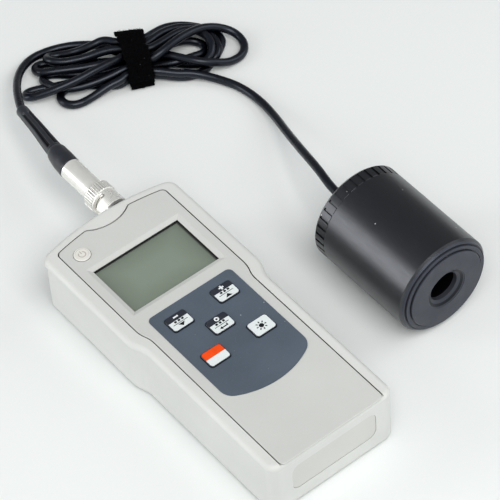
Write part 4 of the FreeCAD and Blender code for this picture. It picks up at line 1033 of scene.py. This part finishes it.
def disc_outline(radius, count=24):
    turn = 2 * math.pi / count
    return [(radius * math.cos(turn * k), radius * math.sin(turn * k)) for k in range(count)]


def bar_outline(x0, y0, x1, y1, width):
    run = Vector((x1 - x0, y1 - y0)).normalized() * width / 2
    side = Vector((-run.y, run.x))
    start = Vector((x0, y0))
    end = Vector((x1, y1))
    return [tuple(start - side), tuple(end - side), tuple(end + side), tuple(start + side)]


def way_at(angle):
    return Vector((math.cos(angle), math.sin(angle)))


def arc_strip(shape, radius, width, start, stop, low, high, centre):
    """A flat curved bar, part of a ring or all of it."""
    rings = []
    for k in range(ARC_STEPS + 1):
        way = way_at(math.radians(start + (stop - start) * k / ARC_STEPS))
        inside = Vector(centre) + way * (radius - width / 2)
        outside = Vector(centre) + way * (radius + width / 2)
        rings.append([(inside.x, inside.y, low), (outside.x, outside.y, low),
                      (outside.x, outside.y, high), (inside.x, inside.y, high)])
    full_turn = stop - start == 360
    skin(shape, rings, caps=not full_turn)
    if full_turn:
        bmesh.ops.remove_doubles(shape, verts=shape.verts, dist=0.0001 * MM)


def add_symbol(name, body, outlines, material):
    """Flat printed shapes on a key, given in mm from the middle of the key's top."""
    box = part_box(body)
    cx, cy = middle_of(box)
    top = box[1].z
    shape = bmesh.new()
    for outline in outlines:
        placed = [(cx + x * MM, cy + y * MM) for x, y in outline]
        plate(shape, placed, top - INK_DEPTH, top + INK_HEIGHT)
    as_object(name, from_bmesh(name, shape), material, body, smooth=False)


def add_ring_mark(material):
    """The enter key's sign, a ring in its band."""
    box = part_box("key_enter")
    cx, cy = middle_of(box)
    top = box[1].z
    shape = bmesh.new()
    arc_strip(shape, 0.85 * MM, 0.6 * MM, 0, 360, top - INK_DEPTH, top + INK_HEIGHT,
              (cx, cy + SIGN_LEVEL * MM))
    as_object("mark_ring", from_bmesh("mark_ring", shape), material, "key_enter",
              smooth=False)


def add_power_mark():
    """The usual power sign, a broken ring and a bar, in the on/off button's dished top."""
    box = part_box("power_button")
    cx, cy = middle_of(box)
    dish = box[1].z - BUTTON_DISH
    low, high = dish - 0.02 * MM, dish + 0.10 * MM
    shape = bmesh.new()
    arc_strip(shape, 1.6 * MM, 0.34 * MM, 125, 415, low, high, (cx, cy))
    bar = bar_outline(0.0, 0.3, 0.0, 2.0, 0.32)
    plate(shape, [(cx + x * MM, cy + y * MM) for x, y in bar], low, high)
    as_object("mark_power", from_bmesh("mark_power", shape),
              moulded("power_mark", colour(176, 170, 163), 0.35), "power_button",
              smooth=False)


def add_symbols():
    ink = print_finish("ink_dark", colour(18, 20, 25))
    pale = print_finish("ink_pale", colour(235, 238, 240))
    rule = bar_outline(-3.7, RULE_LEVEL, 3.7, RULE_LEVEL, 0.28)
    squares = [bar_outline(x, SQUARE_LEVEL, x + 1.15, SQUARE_LEVEL, 1.05)
               for x in (-2.4, -0.55, 1.3)]
    down = [(-1.7, -1.6), (1.7, -1.6), (0.0, -3.4)]
    up = [(-1.7, -3.4), (1.7, -3.4), (0.0, -1.6)]
    arrow = [
        bar_outline(-1.0, -2.7, 1.9, -2.7, 0.55), bar_outline(1.9, -2.97, 1.9, -1.6, 0.55),
        [(-2.2, -2.7), (-0.8, -3.5), (-0.8, -1.9)],
    ]
    add_symbol("mark_down", "key_down", [rule, down] + squares, ink)
    add_symbol("mark_up", "key_up", [rule, up] + squares, ink)
    add_symbol("mark_enter", "key_enter", [rule] + arrow + squares, ink)
    minus = bar_outline(-1.25, SIGN_LEVEL, 1.25, SIGN_LEVEL, SIGN_STROKE)
    # the plus's upright is in two pieces, one each side of its level bar
    near, far = SIGN_STROKE / 2, 1.15
    upright = [
        bar_outline(0.0, SIGN_LEVEL - far, 0.0, SIGN_LEVEL - near, SIGN_STROKE),
        bar_outline(0.0, SIGN_LEVEL + near, 0.0, SIGN_LEVEL + far, SIGN_STROKE),
    ]
    add_symbol("mark_minus", "key_down", [minus], pale)
    add_symbol("mark_plus", "key_up", [minus] + upright, pale)
    add_ring_mark(pale)
    rays = []
    for k in range(8):
        way = way_at(math.radians(45 * k))
        rays.append(bar_outline(*(way * 1.6), *(way * 2.5), 0.5))
    add_symbol("mark_sun", "key_backlight", [disc_outline(1.15)] + rays, ink)
    add_power_mark()


# ---------------------------------------------------------------- studio

FLOOR_HALF = 2.4
FLOOR_STEPS = 12
FLOOR_LEVEL = -0.0002
# every panel faces this point
LIGHT_AIM = (0.05, 0.06, 0.02)
# the studio is darkest in this direction, beyond the right-hand back corner
DARK_SIDE = (0.64, 0.54, 0.54)
# the world's strength against the way towards the dark side
WORLD_FALL = (("From Min", -0.5), ("From Max", 0.9), ("To Min", 0.62), ("To Max", 0.22))
WORLD_COLOUR = (0.94, 0.97, 0.98, 1.0)


def add_floor():
    shape = bmesh.new()
    places = [-FLOOR_HALF + 2 * FLOOR_HALF * i / FLOOR_STEPS for i in range(FLOOR_STEPS + 1)]
    grid = [[shape.verts.new((x, y, FLOOR_LEVEL)) for x in places] for y in places]
    for near, far in zip(grid, grid[1:]):
        for i in range(FLOOR_STEPS):
            shape.faces.new((near[i], near[i + 1], far[i + 1], far[i]))
    mesh = from_bmesh("floor", shape)
    floor = bpy.data.objects.new("floor", mesh)
    bpy.context.scene.collection.objects.link(floor)
    mesh.materials.append(floor_finish())


def add_panel(name, place, width, height, power, tint):
    """A soft rectangular light that faces the meter."""
    data = bpy.data.lights.new(name, "AREA")
    data.shape = "RECTANGLE"
    data.size = width
    data.size_y = height
    data.energy = power
    data.color = tint
    panel = bpy.data.objects.new(name, data)
    bpy.context.scene.collection.objects.link(panel)
    panel.location = place
    panel.rotation_mode = "QUATERNION"
    panel.rotation_quaternion = (Vector(LIGHT_AIM) - Vector(place)).to_track_quat("-Z", "Y")


def add_world():
    """An even light all round that falls off towards the dark side."""
    world = bpy.data.worlds.new("studio")
    bpy.context.scene.world = world
    world.use_nodes = True
    tree = world.node_tree
    back_light = tree.nodes["Background"]
    back_light.inputs["Color"].default_value = WORLD_COLOUR
    way = tree.nodes.new("ShaderNodeTexCoord").outputs["Generated"]
    dot = tree.nodes.new("ShaderNodeVectorMath")
    dot.operation = "DOT_PRODUCT"
    dot.inputs[1].default_value = DARK_SIDE
    tree.links.new(way, dot.inputs[0])
    fall = tree.nodes.new("ShaderNodeMapRange")
    fall.interpolation_type = "SMOOTHSTEP"
    for socket, value in WORLD_FALL:
        fall.inputs[socket].default_value = value
    tree.links.new(dot.outputs["Value"], fall.inputs["Value"])
    tree.links.new(fall.outputs["Result"], back_light.inputs["Strength"])


def add_studio():
    add_floor()
    add_world()
    add_panel("key_panel", (-0.22, -0.72, 1.28), 1.1, 0.9, 15.6, (1.0, 0.99, 0.97))
    add_panel("left_panel", (-0.95, 0.62, 0.42), 0.42, 0.8, 4.2, (1.0, 1.0, 1.0))
    add_panel("right_panel", (0.95, -0.35, 0.75), 0.8, 0.8, 3.5, (0.96, 0.98, 1.0))
    settings = bpy.context.scene.view_settings
    settings.view_transform = "Standard"
    settings.look = "None"


add_camera()
add_lead()
add_boot()
add_tie()
finish_nodes()
add_symbols()
add_studio()
